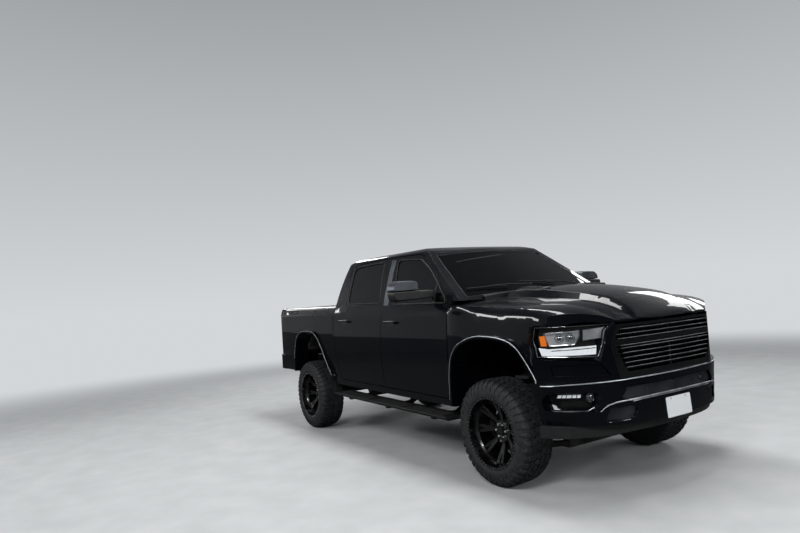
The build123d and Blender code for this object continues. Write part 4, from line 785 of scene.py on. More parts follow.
def buildMeshes():
    # diagonal wires in the bumper's openings, cut at each opening's edges and bent on to its face
    bm = bmesh.new()
    pitch, wire = bumperTrim["meshPitch"], bumperTrim["meshWire"]
    for field in meshFields.values():
        (left, right), (low, high) = field["across"], field["up"]
        rise = high - low
        for lean in (1, -1):
            for step in range(int((right - left + rise) / pitch) + 1):
                start = left - (rise if lean > 0 else 0) + step * pitch
                end = start + lean * rise
                startUp = low + max(0, left - start, start - right)
                endUp = high - max(0, left - end, end - right)
                start, end = (min(max(across, left), right) for across in (start, end))
                if endUp - startUp > pitch / 2:
                    addOnFace(bm, [(start - wire, startUp), (start + wire, startUp), (end + wire, endUp),
                                   (end - wire, endUp)], *bumperTrim["meshDepths"], onBumper)
    other = bm.copy()
    bmesh.ops.transform(other, matrix=acrossFlip, verts=other.verts)
    # the black mesh wires are given the satin grey finish, a painted highlight
    finishPiece(bm, "bumperMeshLeft", "satinTrimAndPaintedReflection")
    finishPiece(other, "bumperMeshRight", "satinTrimAndPaintedReflection")


def buildBumperTrim():
    # bright beads from side to side as painted highlights on the bumper's ridge and slot, the mesh pods' rims and the
    # parking sensors
    # these beads are painted highlights along the black bumper's ridge and slot
    bright = bmesh.new()
    for name, (radius, depth) in bumperTrim["highlightBeads"].items():
        line = bumperTrim[name]
        whole = line + [(-across, up) for across, up in line[-2::-1]]
        points = stepped(whole, 4, closed=False) + [Vector(whole[-1])]
        addBead(bright, [onBumper(Vector((point.x, depth, point.y))) for point in points], radius)
    finishPiece(bright, "bumperPaintedHighlights", "paintedHighlightTrim")
    rims = bmesh.new()
    addRing(rims, bumperTrim["podRim"], *bumperTrim["podRimBead"], onBumper)
    mirrored(rims)
    finishPiece(rims, "podRims", "glossTrim")
    sensors = bmesh.new()
    for across, up in bumperTrim["sensors"]:
        seat = onBumper(Vector((across, bumperTrim["sensorDepth"], up)))
        addLathe(sensors, bumperTrim["sensor"], seat, (1, 0, 0), 24)
    finishPiece(sensors, "parkingSensors", "satinTrimAndPaintedReflection")


plate = {
    "width": 305,
    "height": 152,
    "thick": 1.2,
    "up": 622,
    "along": 1007.6,
    "lean": 0.0646,
    "corner": 12,
    "pressing": (0.97, 0.94),
    "pressingDepth": 0.7,
    "pressingRadius": 1.1,
    "bolts": (-89, 89),
    "boltDrop": 14,
    "boltRise": 2.4,
    "boltRadius": 6,
    "bracketInset": (8, 6),
    "bracketDepth": 14,
}


def onPlate(ahead, across, up):
    # a place on the plate's own leaning plane
    return plate["along"] + ahead - (up - plate["up"]) * plate["lean"], across, up


def buildPlate():
    # a blank licence plate with a pressed edge and two bolts, on its bracket
    bm = bmesh.new()
    half, rise = plate["width"] / 2, plate["height"] / 2
    low, high = plate["up"] - rise, plate["up"] + rise
    corners = [(-half, low), (half, low), (half, high), (-half, high)]
    addPrism(bm, [onPlate(0, across, up) for across, up in corners], (plate["thick"], 0, 0))
    edges = [edge for edge in bm.edges if abs(edge.verts[0].co.x - edge.verts[1].co.x) > 0.5
             and abs(edge.verts[0].co.z - edge.verts[1].co.z) < 1]
    bmesh.ops.bevel(bm, geom=edges, offset=plate["corner"], affect="EDGES", segments=5, profile=0.5, material=-1)
    narrow, lower = plate["pressing"]
    inner = [(across * narrow, plate["up"] + (up - plate["up"]) * lower) for across, up in corners]
    addBead(bm, [onPlate(plate["pressingDepth"], point.x, point.y) for point in stepped(inner, 4)],
            plate["pressingRadius"], closed=True)
    finishPiece(bm, "blankPlate", "plateEnamel")
    bolts = bmesh.new()
    for across in plate["bolts"]:
        foot, head = (onPlate(out, across, high - plate["boltDrop"]) for out in (0, plate["boltRise"]))
        addRod(bolts, foot, head, plate["boltRadius"], 12)
    finishPiece(bolts, "plateBolts", "boltSteel")
    bracket = bmesh.new()
    depth, (sideInset, endInset) = plate["bracketDepth"], plate["bracketInset"]
    outline = [(across - math.copysign(sideInset, across), up - math.copysign(endInset, up - plate["up"]))
               for across, up in corners]
    addPrism(bracket, [onPlate(-depth, across, up) for across, up in outline], (depth, 0, 0))
    finishPiece(bracket, "plateBracket", "blackTrim", bevel=0.003)


grilleShape = {
    "hex": 20,
    "wall": 1.6,
    "depths": (26, 14),
    "low": 938,
    "high": 1262,
    "half": 570,
    "along": 905,
    "sag": (50, 580),
    "bars": [967, 1003, 1039, 1075, 1111, 1131, 1182, 1215, 1251],
    "line": 1.7,
    "lineSteps": 14,
    "lineDepth": 75,
    # half a line's length at the lowest height, and what each millimetre of height adds
    "reach": (500, 958, 0.28),
    "castFrom": 1300,
}


def buildGrilleMesh():
    # upright slats behind the grille's bars, and a bright line on each bar's face, a painted highlight on the black
    # bars
    bm = bmesh.new()
    wall, (back, front) = grilleShape["wall"], grilleShape["depths"]
    for step in range(int(2 * grilleShape["half"] / grilleShape["hex"]) + 1):
        across = -grilleShape["half"] + step * grilleShape["hex"]
        sag = grilleShape["along"] - grilleShape["sag"][0] * (across / grilleShape["sag"][1]) ** 2
        addBlock(bm, (sag - back, across - wall, grilleShape["low"]), (sag - front, across + wall,
                                                                       grilleShape["high"]))
    finishPiece(bm, "grilleScreen", "meshPlastic")
    shape = bmesh.new()
    shape.from_mesh(frame["nodes"]["grille"].data)
    tree = BVHTree.FromBMesh(shape)
    shape.free()
    lines = bmesh.new()
    backwards = sprung.to_3x3() @ Vector((-1, 0, 0))
    count = grilleShape["lineSteps"]
    for up in grilleShape["bars"]:
        base, lowest, growth = grilleShape["reach"]
        reach = base + (up - lowest) * growth
        points = []
        for step in range(-count, count + 1):
            start = sprung @ Vector((grilleShape["castFrom"], reach * step / count, up))
            hit = tree.ray_cast(start, backwards)[0]
            if hit is not None:
                points.append(sprung.inverted() @ hit)
        deepest = max(point.x for point in points) - grilleShape["lineDepth"]
        addBead(lines, [point for point in points if point.x > deepest], grilleShape["line"], sides=6)
    finishPiece(lines, "grilleBarHighlights", "lampSilverAndPaintedHighlight")


buildHeadlamps()
buildFogLamps()
buildMeshes()
buildBumperTrim()
buildPlate()
buildGrilleMesh()
print("nose dressed")


# Sides: seals, mouldings, handles, painted highlights on the arch lips, mirrors, steps

sideShape = {
    "skin": 992,
    "rocker": 640,
    "crease": 1425,
    "skinBow": 22,
    "belt": (950, 1500),
    "rail": (742, 2036),
    "glassBow": 12,
}


def sideAcross(up):
    # how far out the cab's side lies at a height
    skin, rocker, crease = (sideShape[key] for key in ("skin", "rocker", "crease"))
    if up < crease:
        half, middle = (crease - rocker) / 2, (crease + rocker) / 2
        return skin + sideShape["skinBow"] * (1 - ((up - middle) / half) ** 2)
    (low, lowUp), (high, highUp) = sideShape["belt"], sideShape["rail"]
    if up < lowUp:
        return skin + (low - skin) * (up - crease) / (lowUp - crease)
    share = (up - lowUp) / (highUp - lowUp)
    return low + (high - low) * share + 4 * sideShape["glassBow"] * share * (1 - share)


def onSide(point):
    # (along, out from the side's surface, up) to its place on the left side
    return Vector((point.x, sideAcross(point.z) + point.y, point.z))


# Side windows seen from the left: along, up, bow, as the doors are cut
sideWindows = {
    "front_door": [(-1548, 1514, 0), (-650, 1510, 6), (-668, 1556, 4), (-911, 1771, 8), (-1165, 1926, 8),
                   (-1262, 1960, 4), (-1640, 1978, 6), (-1672, 1940, 0)],
    "rear_door": [(-2596, 1538, 0), (-1862, 1536, 0), (-1978, 1984, 4), (-2606, 1972, 14), (-2672, 1910, 2),
                  (-2634, 1590, 6)],
}
doorTrim = {
    "sealBead": (7, -1),
    "beltBead": (9, 0),
    "belts": {"front_door": [(-1556, 1512), (-1100, 1510), (-664, 1506)],
              "rear_door": [(-2600, 1536), (-2200, 1535), (-1856, 1533)]},
    "handles": {"front_door": (-1662, -1452, 1330), "rear_door": (-2728, -2518, 1339)},
    "handle": {"halfHeight": 14, "bow": 14, "out": 22, "thick": 13},
    "handleFoot": {"inset": 22, "half": (20, 11), "out": -6, "thick": 30},
    "handleHighlight": {"inset": 12, "rise": 13, "bead": (2.2, 34)},
    "handleCup": {"inset": 44, "low": -26, "high": 24, "bows": (8, 20, 4, 20), "out": -4, "thick": 5.2},
    "pillar": [(-1766, 1506), (-1668, 1506), (-1732, 1992), (-1824, 1996)],
    "divider": [(-846, 1512), (-824, 1512), (-824, 1700), (-846, 1690)],
}


def sideRing(bm, rows, radius, out, closed=True):
    # a bead along an outline of (along, up), laid on the side's surface in steps of 60 mm at most
    line = [Vector(point) for point in rows]
    points = []
    for here, there in zip(line, line[1:] + (line[:1] if closed else [])):
        steps = max(1, int((there - here).length / 60))
        points += [here.lerp(there, step / steps) for step in range(steps)]
    if not closed:
        points.append(line[-1])
    addBead(bm, [onSide(Vector((point.x, out, point.y))) for point in points], radius, closed=closed)


def finishBothSides(bm, name, finish, leftBody, rightBody, **more):
    # the left piece and its mirror image, each on its own body
    other = bm.copy()
    bmesh.ops.transform(other, matrix=acrossFlip, verts=other.verts)
    finishPiece(bm, name + "_left", finish, leftBody, **more)
    finishPiece(other, name + "_right", finish, rightBody, **more)


def sidePlate(bm, outline, out, thick, cuts=()):
    # an outline of (along, up) as a plate on the left side's surface
    addPrism(bm, [(along, out, up) for along, up in outline], (0, thick, 0))
    sliced(bm, "z", cuts)
    bent(bm, onSide)


def buildHandle(start, end, up):
    # a pull handle bowed off the skin, with its foot at each end
    bm = bmesh.new()
    grip, foot = doorTrim["handle"], doorTrim["handleFoot"]
    half, bow = grip["halfHeight"], grip["bow"]
    rows = [(start, up - half, 0), (end, up - half, bow), (end, up + half, 0), (start, up + half, bow)]
    addPrism(bm, [(point.x, grip["out"], point.y) for point in bowed(rows, 6)], (0, grip["thick"], 0))
    wide, high = foot["half"]
    for middle in (start + foot["inset"], end - foot["inset"]):
        corners = [(middle - wide, up - high), (middle + wide, up - high), (middle + wide, up + high),
                   (middle - wide, up + high)]
        addPrism(bm, [(along, foot["out"], height) for along, height in corners], (0, foot["thick"], 0))
    bent(bm, onSide)
    return bm


def buildDoorTrim():
    # seals, belt mouldings and handles of the four doors, then the front doors' applique and quarter bar
    edge, cup = doorTrim["handleHighlight"], doorTrim["handleCup"]
    for door, rows in sideWindows.items():
        bodies = (door + "_left_body", door + "_right_body")
        seal = bmesh.new()
        sideRing(seal, bowed(rows, 4), *doorTrim["sealBead"])
        sideRing(seal, doorTrim["belts"][door], *doorTrim["beltBead"], closed=False)
        finishBothSides(seal, door + "WindowSeal", "sealRubber", *bodies)
        start, end, up = doorTrim["handles"][door]
        finishBothSides(buildHandle(start, end, up), door + "Handle", "paint", *bodies, bevel=0.005, segments=3)
        # a bright bead along each black handle's top, a painted highlight
        shine = bmesh.new()
        sideRing(shine, [(start + edge["inset"], up + edge["rise"]), (end - edge["inset"], up + edge["rise"])],
                 *edge["bead"], closed=False)
        finishBothSides(shine, door + "HandleHighlight", "paintedHighlightTrim", *bodies)
        dish = bmesh.new()
        near, far, low, high = start + cup["inset"], end - cup["inset"], up + cup["low"], up + cup["high"]
        corners = [(near, low), (far, low), (far, high), (near, high)]
        rows = [(*corner, bow) for corner, bow in zip(corners, cup["bows"])]
        sidePlate(dish, bowed(rows, 6), cup["out"], cup["thick"])
        finishBothSides(dish, door + "HandleCup", "glossTrim", *bodies, bevel=0.0015)
    bodies = ("front_door_left_body", "front_door_right_body")
    strip = bmesh.new()
    sidePlate(strip, doorTrim["pillar"], -2, 5, range(1560, 1990, 60))
    finishBothSides(strip, "pillarApplique", "satinTrimAndPaintedReflection", *bodies, bevel=0.0015)
    bar = bmesh.new()
    sidePlate(bar, doorTrim["divider"], -9, 9, (1560, 1620))
    finishBothSides(bar, "quarterWindowBar", "sealRubber", *bodies, bevel=0.002)


archHighlights = {
    "front": [(527, 868, 0), (527, 898, 4), (405, 1059, 10), (280, 1158, 8), (68, 1196, 3), (-125, 1197, 8),
              (-338, 1141, 10), (-450, 1058, 12), (-505, 930, 6), (-524, 760, 0), (-532, 640, 0)],
    "rear": [(-3024, 660, 0), (-3191, 855, 6), (-3346, 1051, 8), (-3440, 1132, 8), (-3560, 1180, 3), (-3854, 1183, 6),
             (-4002, 1146, 14), (-4110, 1020, 6), (-4168, 820, 0)],
    "grow": 22,
    "across": 1034,
    "bead": 3.5,
}


def buildArchHighlights():
    # a bright bead round each wheel arch's lip, a painted highlight on the black paint
    for name in ("front", "rear"):
        line = bowed(archHighlights[name], 5, closed=False)
        grown = []
        for index, point in enumerate(line):
            ahead = line[min(index + 1, len(line) - 1)] - line[max(index - 1, 0)]
            grown.append(point + Vector((ahead.y, -ahead.x)).normalized() * archHighlights["grow"])
        bm = bmesh.new()
        addBead(bm, [(point.x, archHighlights["across"], point.y) for point in grown], archHighlights["bead"], sides=10)
        mirrored(bm)
        finishPiece(bm, name + "ArchHighlights", "paintedHighlightTrim")


mirrorShape = {
    "head": [(1094, 1640, 0), (1388, 1640, 4), (1390, 1668, 10), (1352, 1724, 8), (1300, 1738, 2), (1140, 1738, 10),
             (1100, 1712, 0)],
    "housing": [(950, 1560, 0), (1330, 1545, 14), (1388, 1592, 6), (1386, 1646, 0), (948, 1644, 0)],
    "glass": [(1112, 1560, 6), (1322, 1560, 10), (1370, 1598, 4), (1372, 1660, 10), (1340, 1712, 6), (1150, 1722, 8),
              (1116, 1690, 4)],
    "marker": [(1250, 1606, 0), (1356, 1606, 0), (1366, 1616, 0), (1250, 1616, 0)],
    "taperFrom": -900,
    # name: outline, back, depth, taper across and up as (middle, share), finish, bevel, its segments
    "pieces": {
        # the cap is black paint; its satin grey finish is a painted reflection of the sky
        "mirrorCap": ("head", -928, 106, (1240, 0.9), (1680, 0.82), "satinTrimAndPaintedReflection", 0.018, 4),
        "mirrorHousing": ("housing", -928, 126, (0, 1), (1600, 0.78), "blackTrim", 0.016, 4),
        "mirrorGlass": ("glass", -929.5, 3, (0, 1), (0, 1), "mirrorGlass", 0.001, 2),
        "mirrorMarker": ("marker", -812, 8, (0, 1), (0, 1), "amberGuide", 0.002, 2),
    },
    "standsFor": "mirrorHousing",
}


def buildMirrors():
    # each mirror's cap, housing, glass and marker; the cap's and the housing's fronts narrow and lean back
    for side, sign in (("left", 1), ("right", -1)):
        for name, row in mirrorShape["pieces"].items():
            outline, back, depth, (middle, narrow), (level, lower), finish, bevel, segments = row
            bm = bmesh.new()
            addPrism(bm, [(back, point.x, point.y) for point in bowed(mirrorShape[outline], 6)], (depth, 0, 0))
            for vert in bm.verts:
                if vert.co.x > mirrorShape["taperFrom"]:
                    vert.co.y = middle + (vert.co.y - middle) * narrow
                    vert.co.z = level + (vert.co.z - level) * lower
            bmesh.ops.transform(bm, matrix=Matrix.Diagonal((1, sign, 1, 1)), verts=bm.verts)
            replaced = (f"mirror_{side}",) if name == mirrorShape["standsFor"] else ()
            finishPiece(bm, f"{name}_{side}", finish, f"front_door_{side}_body", replaced=replaced, bevel=bevel,
                        segments=segments)


stepPads = {
    "top": 478,
    "near": 880,
    "far": 1030,
    "sink": 2,
    "thick": 5,
    "ribs": 9,
    "ribInset": (14, 8),
    "ribShare": 0.5,
    "ribRise": 6,
    "spans": [(-2830, -2080), (-2040, -1380), (-1340, -690)],
    "edge": [(-2920, 1043, 467), (-1700, 1046, 467), (-640, 1043, 467)],
    "highlightRadius": 5,
}


def buildStepPads():
    # ribbed rubber treads on the running boards, and a bright bead along each board's edge as a painted highlight
    bm = bmesh.new()
    top, near, far, ribs = (stepPads[key] for key in ("top", "near", "far", "ribs"))
    endInset, sideInset = stepPads["ribInset"]
    foot = top - stepPads["sink"]
    pitch = (far - near - 12) / ribs
    for start, end in stepPads["spans"]:
        addPrism(bm, [(start, near, foot), (end, near, foot), (end, far, foot), (start, far, foot)],
                 (0, 0, stepPads["thick"]))
        for rib in range(ribs):
            low = near + sideInset + rib * pitch
            addBlock(bm, (start + endInset, low, top + 2),
                     (end - endInset, low + pitch * stepPads["ribShare"], top + stepPads["ribRise"]))
    mirrored(bm)
    finishPiece(bm, "stepPads", "sealRubber", bevel=0.0012, segments=1)
    edge = bmesh.new()
    addBead(edge, stepPads["edge"], stepPads["highlightRadius"])
    mirrored(edge)
    finishPiece(edge, "stepEdgeHighlights", "paintedHighlightTrim")


hoodVents = {
    "outline": [(-250, 352, 0), (118, 352, 0), (60, 428, 0), (-250, 436, 0)],
    "cuts": range(-230, 110, 60),
    "sink": 6,
    "rise": 26,
    # the outer edge, the width over which the vent rises inwards, and its rise at the two edges
    "slope": (436, 84, 0.45, 0.55),
    "louvres": 5,
    "firstLouvre": -224,
    "louvrePitch": 60,
    "louvre": [(0, 366, 0), (42, 366, 0), (34, 414, 0), (-8, 416, 0)],
    "louvreThick": 5,
    "louvreSink": 2.5,
}
# Stations: along, half width, then the heights of the hood's seam, flank, shoulder and centre
hoodShape = {
    "stations": [(-410, 712, 1498, 1520, 1568, 1588), (-100, 708, 1496, 1518, 1578, 1602),
                 (300, 688, 1470, 1490, 1552, 1580), (620, 650, 1446, 1462, 1504, 1530),
                 (820, 602, 1392, 1404, 1440, 1462)],
    # shares of the half width at which the dome ends and the flank starts, and the widths of the two bands
    "domeEnd": 0.6,
    "flankStart": 0.68,
    "shoulderBand": 0.08,
    "flankBand": 0.32,
}


def hoodTop(along, across):
    # the hood's own height
    stations = hoodShape["stations"]
    for here, there in zip(stations, stations[1:]):
        if along <= there[0] or there is stations[-1]:
            share = (along - here[0]) / (there[0] - here[0])
            width, seam, flank, shoulder, centre = (a + share * (b - a) for a, b in zip(here[1:], there[1:]))
            break
    spread = abs(across)
    domeEnd, flankStart = width * hoodShape["domeEnd"], width * hoodShape["flankStart"]
    if spread < domeEnd:
        return centre - (centre - shoulder) * (spread / domeEnd) ** 2
    if spread < flankStart:
        return shoulder + (flank - shoulder) * (spread - domeEnd) / (width * hoodShape["shoulderBand"])
    return flank + (seam - flank) * (spread - flankStart) / (width * hoodShape["flankBand"])


def ventShare(across):
    # how much of the vent's full rise it has at a distance from the middle
    outer, width, least, growth = hoodVents["slope"]
    return least + growth * ((outer - across) / width)


def buildHoodVents():
    # a louvred vent on each side of the hood's dome
    bm = bmesh.new()
    addPrism(bm, hoodVents["outline"], (0, 0, hoodVents["rise"]))
    sliced(bm, "x", hoodVents["cuts"])
    for vert in bm.verts:
        rise = vert.co.z * ventShare(vert.co.y) - (hoodVents["sink"] if vert.co.z == 0 else 0)
        vert.co.z = hoodTop(vert.co.x, vert.co.y) + rise
    mirrored(bm)
    finishPiece(bm, "hoodVents", "blackTrim", "hood_body", bevel=0.006, segments=3)
    slots = bmesh.new()
    for step in range(hoodVents["louvres"]):
        along = hoodVents["firstLouvre"] + step * hoodVents["louvrePitch"]
        outline = [(along + ahead, across, up) for ahead, across, up in hoodVents["louvre"]]
        addPrism(slots, outline, (0, 0, hoodVents["louvreThick"]))
    for vert in slots.verts:
        rise = hoodVents["rise"] * ventShare(vert.co.y)
        vert.co.z += hoodTop(vert.co.x, vert.co.y) + rise - hoodVents["louvreSink"]
    mirrored(slots)
    finishPiece(slots, "hoodLouvres", "glossTrim", "hood_body", bevel=0.0012)


screen = {"foot": (-330, 1545), "slope": 33.0, "halfChord": 1000, "sag": 72}


def onScreen(point):
    # (across, up the slope, out from the glass) to its place on the windshield
    slope = math.radians(screen["slope"])
    radius = (screen["halfChord"] ** 2 + screen["sag"] ** 2) / (2 * screen["sag"])
    dip = radius - math.sqrt(radius ** 2 - point.x ** 2)
    out = point.z - dip
    return Vector((screen["foot"][0] - point.y * math.cos(slope) + out * math.sin(slope), point.x,
                   screen["foot"][1] + point.y * math.sin(slope) + out * math.cos(slope)))


wipers = {
    # pivot and tip of each arm: across, up the slope, out from the glass
    "arms": [((-70, 118, 26), (-560, 176, 14)), ((540, 118, 26), (80, 182, 14))],
    "armBow": 10,
    "armRadius": 6,
    "hub": (30, 10, 15, 11),
    "blade": 560,
    "bladeShares": (0.1, 0.3, 0.5, 0.7, 0.9),
    "bladeOut": 6,
    # a shift up the slope and out, and the radius
    "blades": [((0, 2, 0), 4), ((0, 0, 5), 5)],
    "surround": [(-850, 88), (-640, 80), (-320, 75), (0, 74), (320, 75), (640, 80), (850, 88), (775, 470),
                 (700, 852), (350, 861), (0, 864), (-350, 861), (-700, 852), (-775, 470)],
    "surroundBead": (8, -7),
    "cowlSlats": 25,
    "cowlStart": -560,
    "cowlPitch": 45,
    "cowlSlat": ((-388, 0, 1470), (-352, 26, 1500)),
}


def buildWipers():
    # two wipers on the glass, the rubber surround of the screen and the cowl's slats
    bm = bmesh.new()
    sunk, raised, hubRadius, hubTop = wipers["hub"]
    for pivot, tip in wipers["arms"]:
        pivot, tip = Vector(pivot), Vector(tip)
        arm = [pivot.lerp(tip, step / 6) + Vector((0, 0, wipers["armBow"] * math.sin(math.pi * step / 6)))
               for step in range(7)]
        addBead(bm, [onScreen(point) for point in arm], wipers["armRadius"])
        addRod(bm, onScreen(pivot - Vector((0, 0, sunk))), onScreen(pivot + Vector((0, 0, raised))), hubRadius, 16,
               hubTop)
        run = Vector((tip.x - pivot.x, tip.y - pivot.y, 0)).normalized()
        line = [tip + run * (share - 0.5) * wipers["blade"] for share in wipers["bladeShares"]]
        for point in line:
            point.z = wipers["bladeOut"]
        for shift, radius in wipers["blades"]:
            addBead(bm, [onScreen(point + Vector(shift)) for point in line], radius)
    finishPiece(bm, "wipers", "blackTrim")
    frit = bmesh.new()
    radius, out = wipers["surroundBead"]
    addBead(frit, [onScreen(Vector((across, up, out))) for across, up in wipers["surround"]], radius, closed=True)
    finishPiece(frit, "screenSurround", "sealRubber")
    low, high = (Vector(corner) for corner in wipers["cowlSlat"])
    starts = [Vector((0, wipers["cowlStart"] + step * wipers["cowlPitch"], 0))
              for step in range(wipers["cowlSlats"])]
    blockPiece("cowlGrille", "blackTrim", [(low + start, high + start) for start in starts], bevel=0.002)


buildDoorTrim()
buildArchHighlights()
buildMirrors()
buildStepPads()
buildHoodVents()
buildWipers()
print("sides and screen dressed")


# Rear: lamps, tailgate, bumper step, bed

rear = {
    "lampGuide": [(884, 1030), (964, 1030), (964, 1372), (884, 1372)],
    "lampGuideAlong": -4786,
    "reversingLamp": ((-4789, 890, 1150), (-4780, 958, 1236)),
    "highStopLamp": ((-2873, -170, 1962), (-2852, 170, 1982)),
    "gateFace": -4800,
    "gatePress": [(-760, 1040), (760, 1040), (760, 1370), (-760, 1370)],
    # blocks and rods on the tailgate are measured from its face
    "bezel": ((-4, -150, 1395), (4, 150, 1455)),
    "pull": ((-16, -124, 1419), (-2, 124, 1447)),
    "camera": ((-2, 0, 1407), (-9, 0, 1407), 9),
    "lip": [(-6, 1496), (-6, 1508), (40, 1517), (40, 1509)],
    "lipHalf": 820,
    "stepTop": 845,
    "stepSpans": ((-860, -330), (-290, 290), (330, 860)),
    "stepPad": ((-4894, -2), (-4812, 4)),
    "stepRib": ((-4888, 2), (-4818, 8)),
    "stepRibPitch": 26,
    "stepRibSpan": (10, 20),
    "sensors": (-620, -230, 230, 620),
    "sensor": (-4899, -4906, 770, 12),
    "plateRecess": ((-4905.6, -170, 660), (-4896, 170, 820)),
    "plate": ((-4907, -152, 664), (-4904, 152, 816)),
    "plateLamps": [((-4907, -196, 790), (-4900, -176, 815)), ((-4907, 176, 790), (-4900, 196, 815))],
    "hitchOuter": [(-32, 578), (32, 578), (32, 642), (-32, 642)],
    "hitchInner": [(-25, 585), (25, 585), (25, 635), (-25, 635)],
    "hitchSpan": (-4880, 150),
    "railCap": [(852, 1515), (856, 1522), (922, 1522), (930, 1514)],
    "railCapSpan": (-2972, -1790),
    "ribs": 11,
    "ribsHalf": 620,
    "ribHeights": (969, 980),
    "ribSpan": (-3010, -1720),
    "hooks": (-3080, -4640),
    "hookPlate": ((-30, 832, 1060), (30, 843, 1120)),
    "hook": [(-20, 834, 1100), (-20, 812, 1090), (0, 806, 1086), (20, 812, 1090), (20, 834, 1100)],
}


def buildTailLamps():
    # bright frames in the tail lamps' rear faces, reversing lamps and the high stop lamp
    guides = bmesh.new()
    line = [(rear["lampGuideAlong"], point.x, point.y) for point in stepped(rear["lampGuide"], 4)]
    addBead(guides, line, 5, closed=True)
    mirrored(guides)
    finishPiece(guides, "tailLampGuides", "redGuide")
    blockPiece("reversingLamps", "whiteGuide", [rear["reversingLamp"]], bothSides=True, bevel=0.004)
    blockPiece("highStopLamp", "redGuide", [rear["highStopLamp"]], bevel=0.003)


def fromGate(corner):
    # a place measured from the tailgate's face
    return (rear["gateFace"] + corner[0], *corner[1:])


def buildTailgateTrim():
    # the pressed frame, the handle in its bezel, the camera and the top lip
    body = "tailgate_body"
    press = bmesh.new()
    line = [fromGate((2, point.x, point.y)) for point in stepped(rear["gatePress"], 8)]
    addBead(press, line, 7, closed=True)
    finishPiece(press, "tailgatePressing", "paint", body)
    bezel, pull = ([tuple(fromGate(corner) for corner in rear[name])] for name in ("bezel", "pull"))
    blockPiece("tailgateHandleBezel", "blackTrim", bezel, body=body, bevel=0.003)
    blockPiece("tailgateHandle", "paint", pull, body=body, bevel=0.006, segments=3)
    camera = bmesh.new()
    start, end, radius = rear["camera"]
    addRod(camera, fromGate(start), fromGate(end), radius, 20)
    finishPiece(camera, "rearCamera", "mirrorGlass", body, bevel=0.001)
    lip = bmesh.new()
    half = rear["lipHalf"]
    addPrism(lip, [fromGate((along, -half, up)) for along, up in rear["lip"]], (0, 2 * half, 0))
    finishPiece(lip, "tailgateLip", "blackTrim", body, bevel=0.002)


def buildRearBumperTrim():
    # ribbed step pads, sensors, the blank plate with its lamps and the hitch receiver
    top = rear["stepTop"]
    ribStart, ribEnd = rear["stepRibSpan"]
    blocks = []
    for left, right in rear["stepSpans"]:
        (back, low), (front, high) = rear["stepPad"]
        blocks.append(((back, left, top + low), (front, right, top + high)))
        (back, low), (front, high) = rear["stepRib"]
        for step in range(int((right - left) / rear["stepRibPitch"])):
            across = left + step * rear["stepRibPitch"]
            blocks.append(((back, across + ribStart, top + low), (front, across + ribEnd, top + high)))
    blockPiece("bumperStepPads", "sealRubber", blocks, bevel=0.001, segments=1)
    sensors = bmesh.new()
    start, end, up, radius = rear["sensor"]
    for across in rear["sensors"]:
        addRod(sensors, (start, across, up), (end, across, up), radius, 20)
    finishPiece(sensors, "parkingSensors", "glossTrim", bevel=0.001)
    blockPiece("rearPlateRecess", "blackTrim", [rear["plateRecess"]], bevel=0.006, segments=3)
    blockPiece("rearBlankPlate", "plateEnamel", [rear["plate"]], bevel=0.0015)
    blockPiece("plateLamps", "whiteGuide", rear["plateLamps"], bevel=0.002)
    hitch = bmesh.new()
    along, length = rear["hitchSpan"]
    outer, inner = ([(along, *point) for point in rear[name]] for name in ("hitchOuter", "hitchInner"))
    for (a, b), (c, d) in zip(zip(outer, outer[1:] + outer[:1]), zip(inner, inner[1:] + inner[:1])):
        addPrism(hitch, [a, b, d, c], (length, 0, 0))
    finishPiece(hitch, "hitchReceiver", "framePaint", bevel=0.001)


def buildBedTrim():
    # caps on the bed's rails, ribs on its floor and four tie-down hooks
    caps = bmesh.new()
    start, run = rear["railCapSpan"]
    addPrism(caps, [(start, across, up) for across, up in rear["railCap"]], (run, 0, 0))
    mirrored(caps)
    finishPiece(caps, "bedRailCaps", "blackTrim", bevel=0.002)
    ribs = bmesh.new()
    start, run = rear["ribSpan"]
    low, high = rear["ribHeights"]
    pitch = 2 * rear["ribsHalf"] / rear["ribs"]
    for step in range(rear["ribs"]):
        across = -rear["ribsHalf"] + pitch * (step + 0.25)
        addPrism(ribs, [(start, across, low), (start, across + 10, high), (start, across + pitch * 0.5 - 10, high),
                        (start, across + pitch * 0.5, low)], (run, 0, 0))
    finishPiece(ribs, "bedFloorRibs", "bedCoating", bevel=0.003)
    hooks = bmesh.new()
    for middle in rear["hooks"]:
        foot, head = ((middle + along, *rest) for along, *rest in rear["hookPlate"])
        addBlock(hooks, foot, head)
        addBead(hooks, [(middle + along, *rest) for along, *rest in rear["hook"]], 5)
    mirrored(hooks)
    finishPiece(hooks, "tieDowns", "framePaint", bevel=0.002)


buildTailLamps()
buildTailgateTrim()
buildRearBumperTrim()
buildBedTrim()
print("rear dressed")


# Chassis: coil springs with their dampers, and small fittings

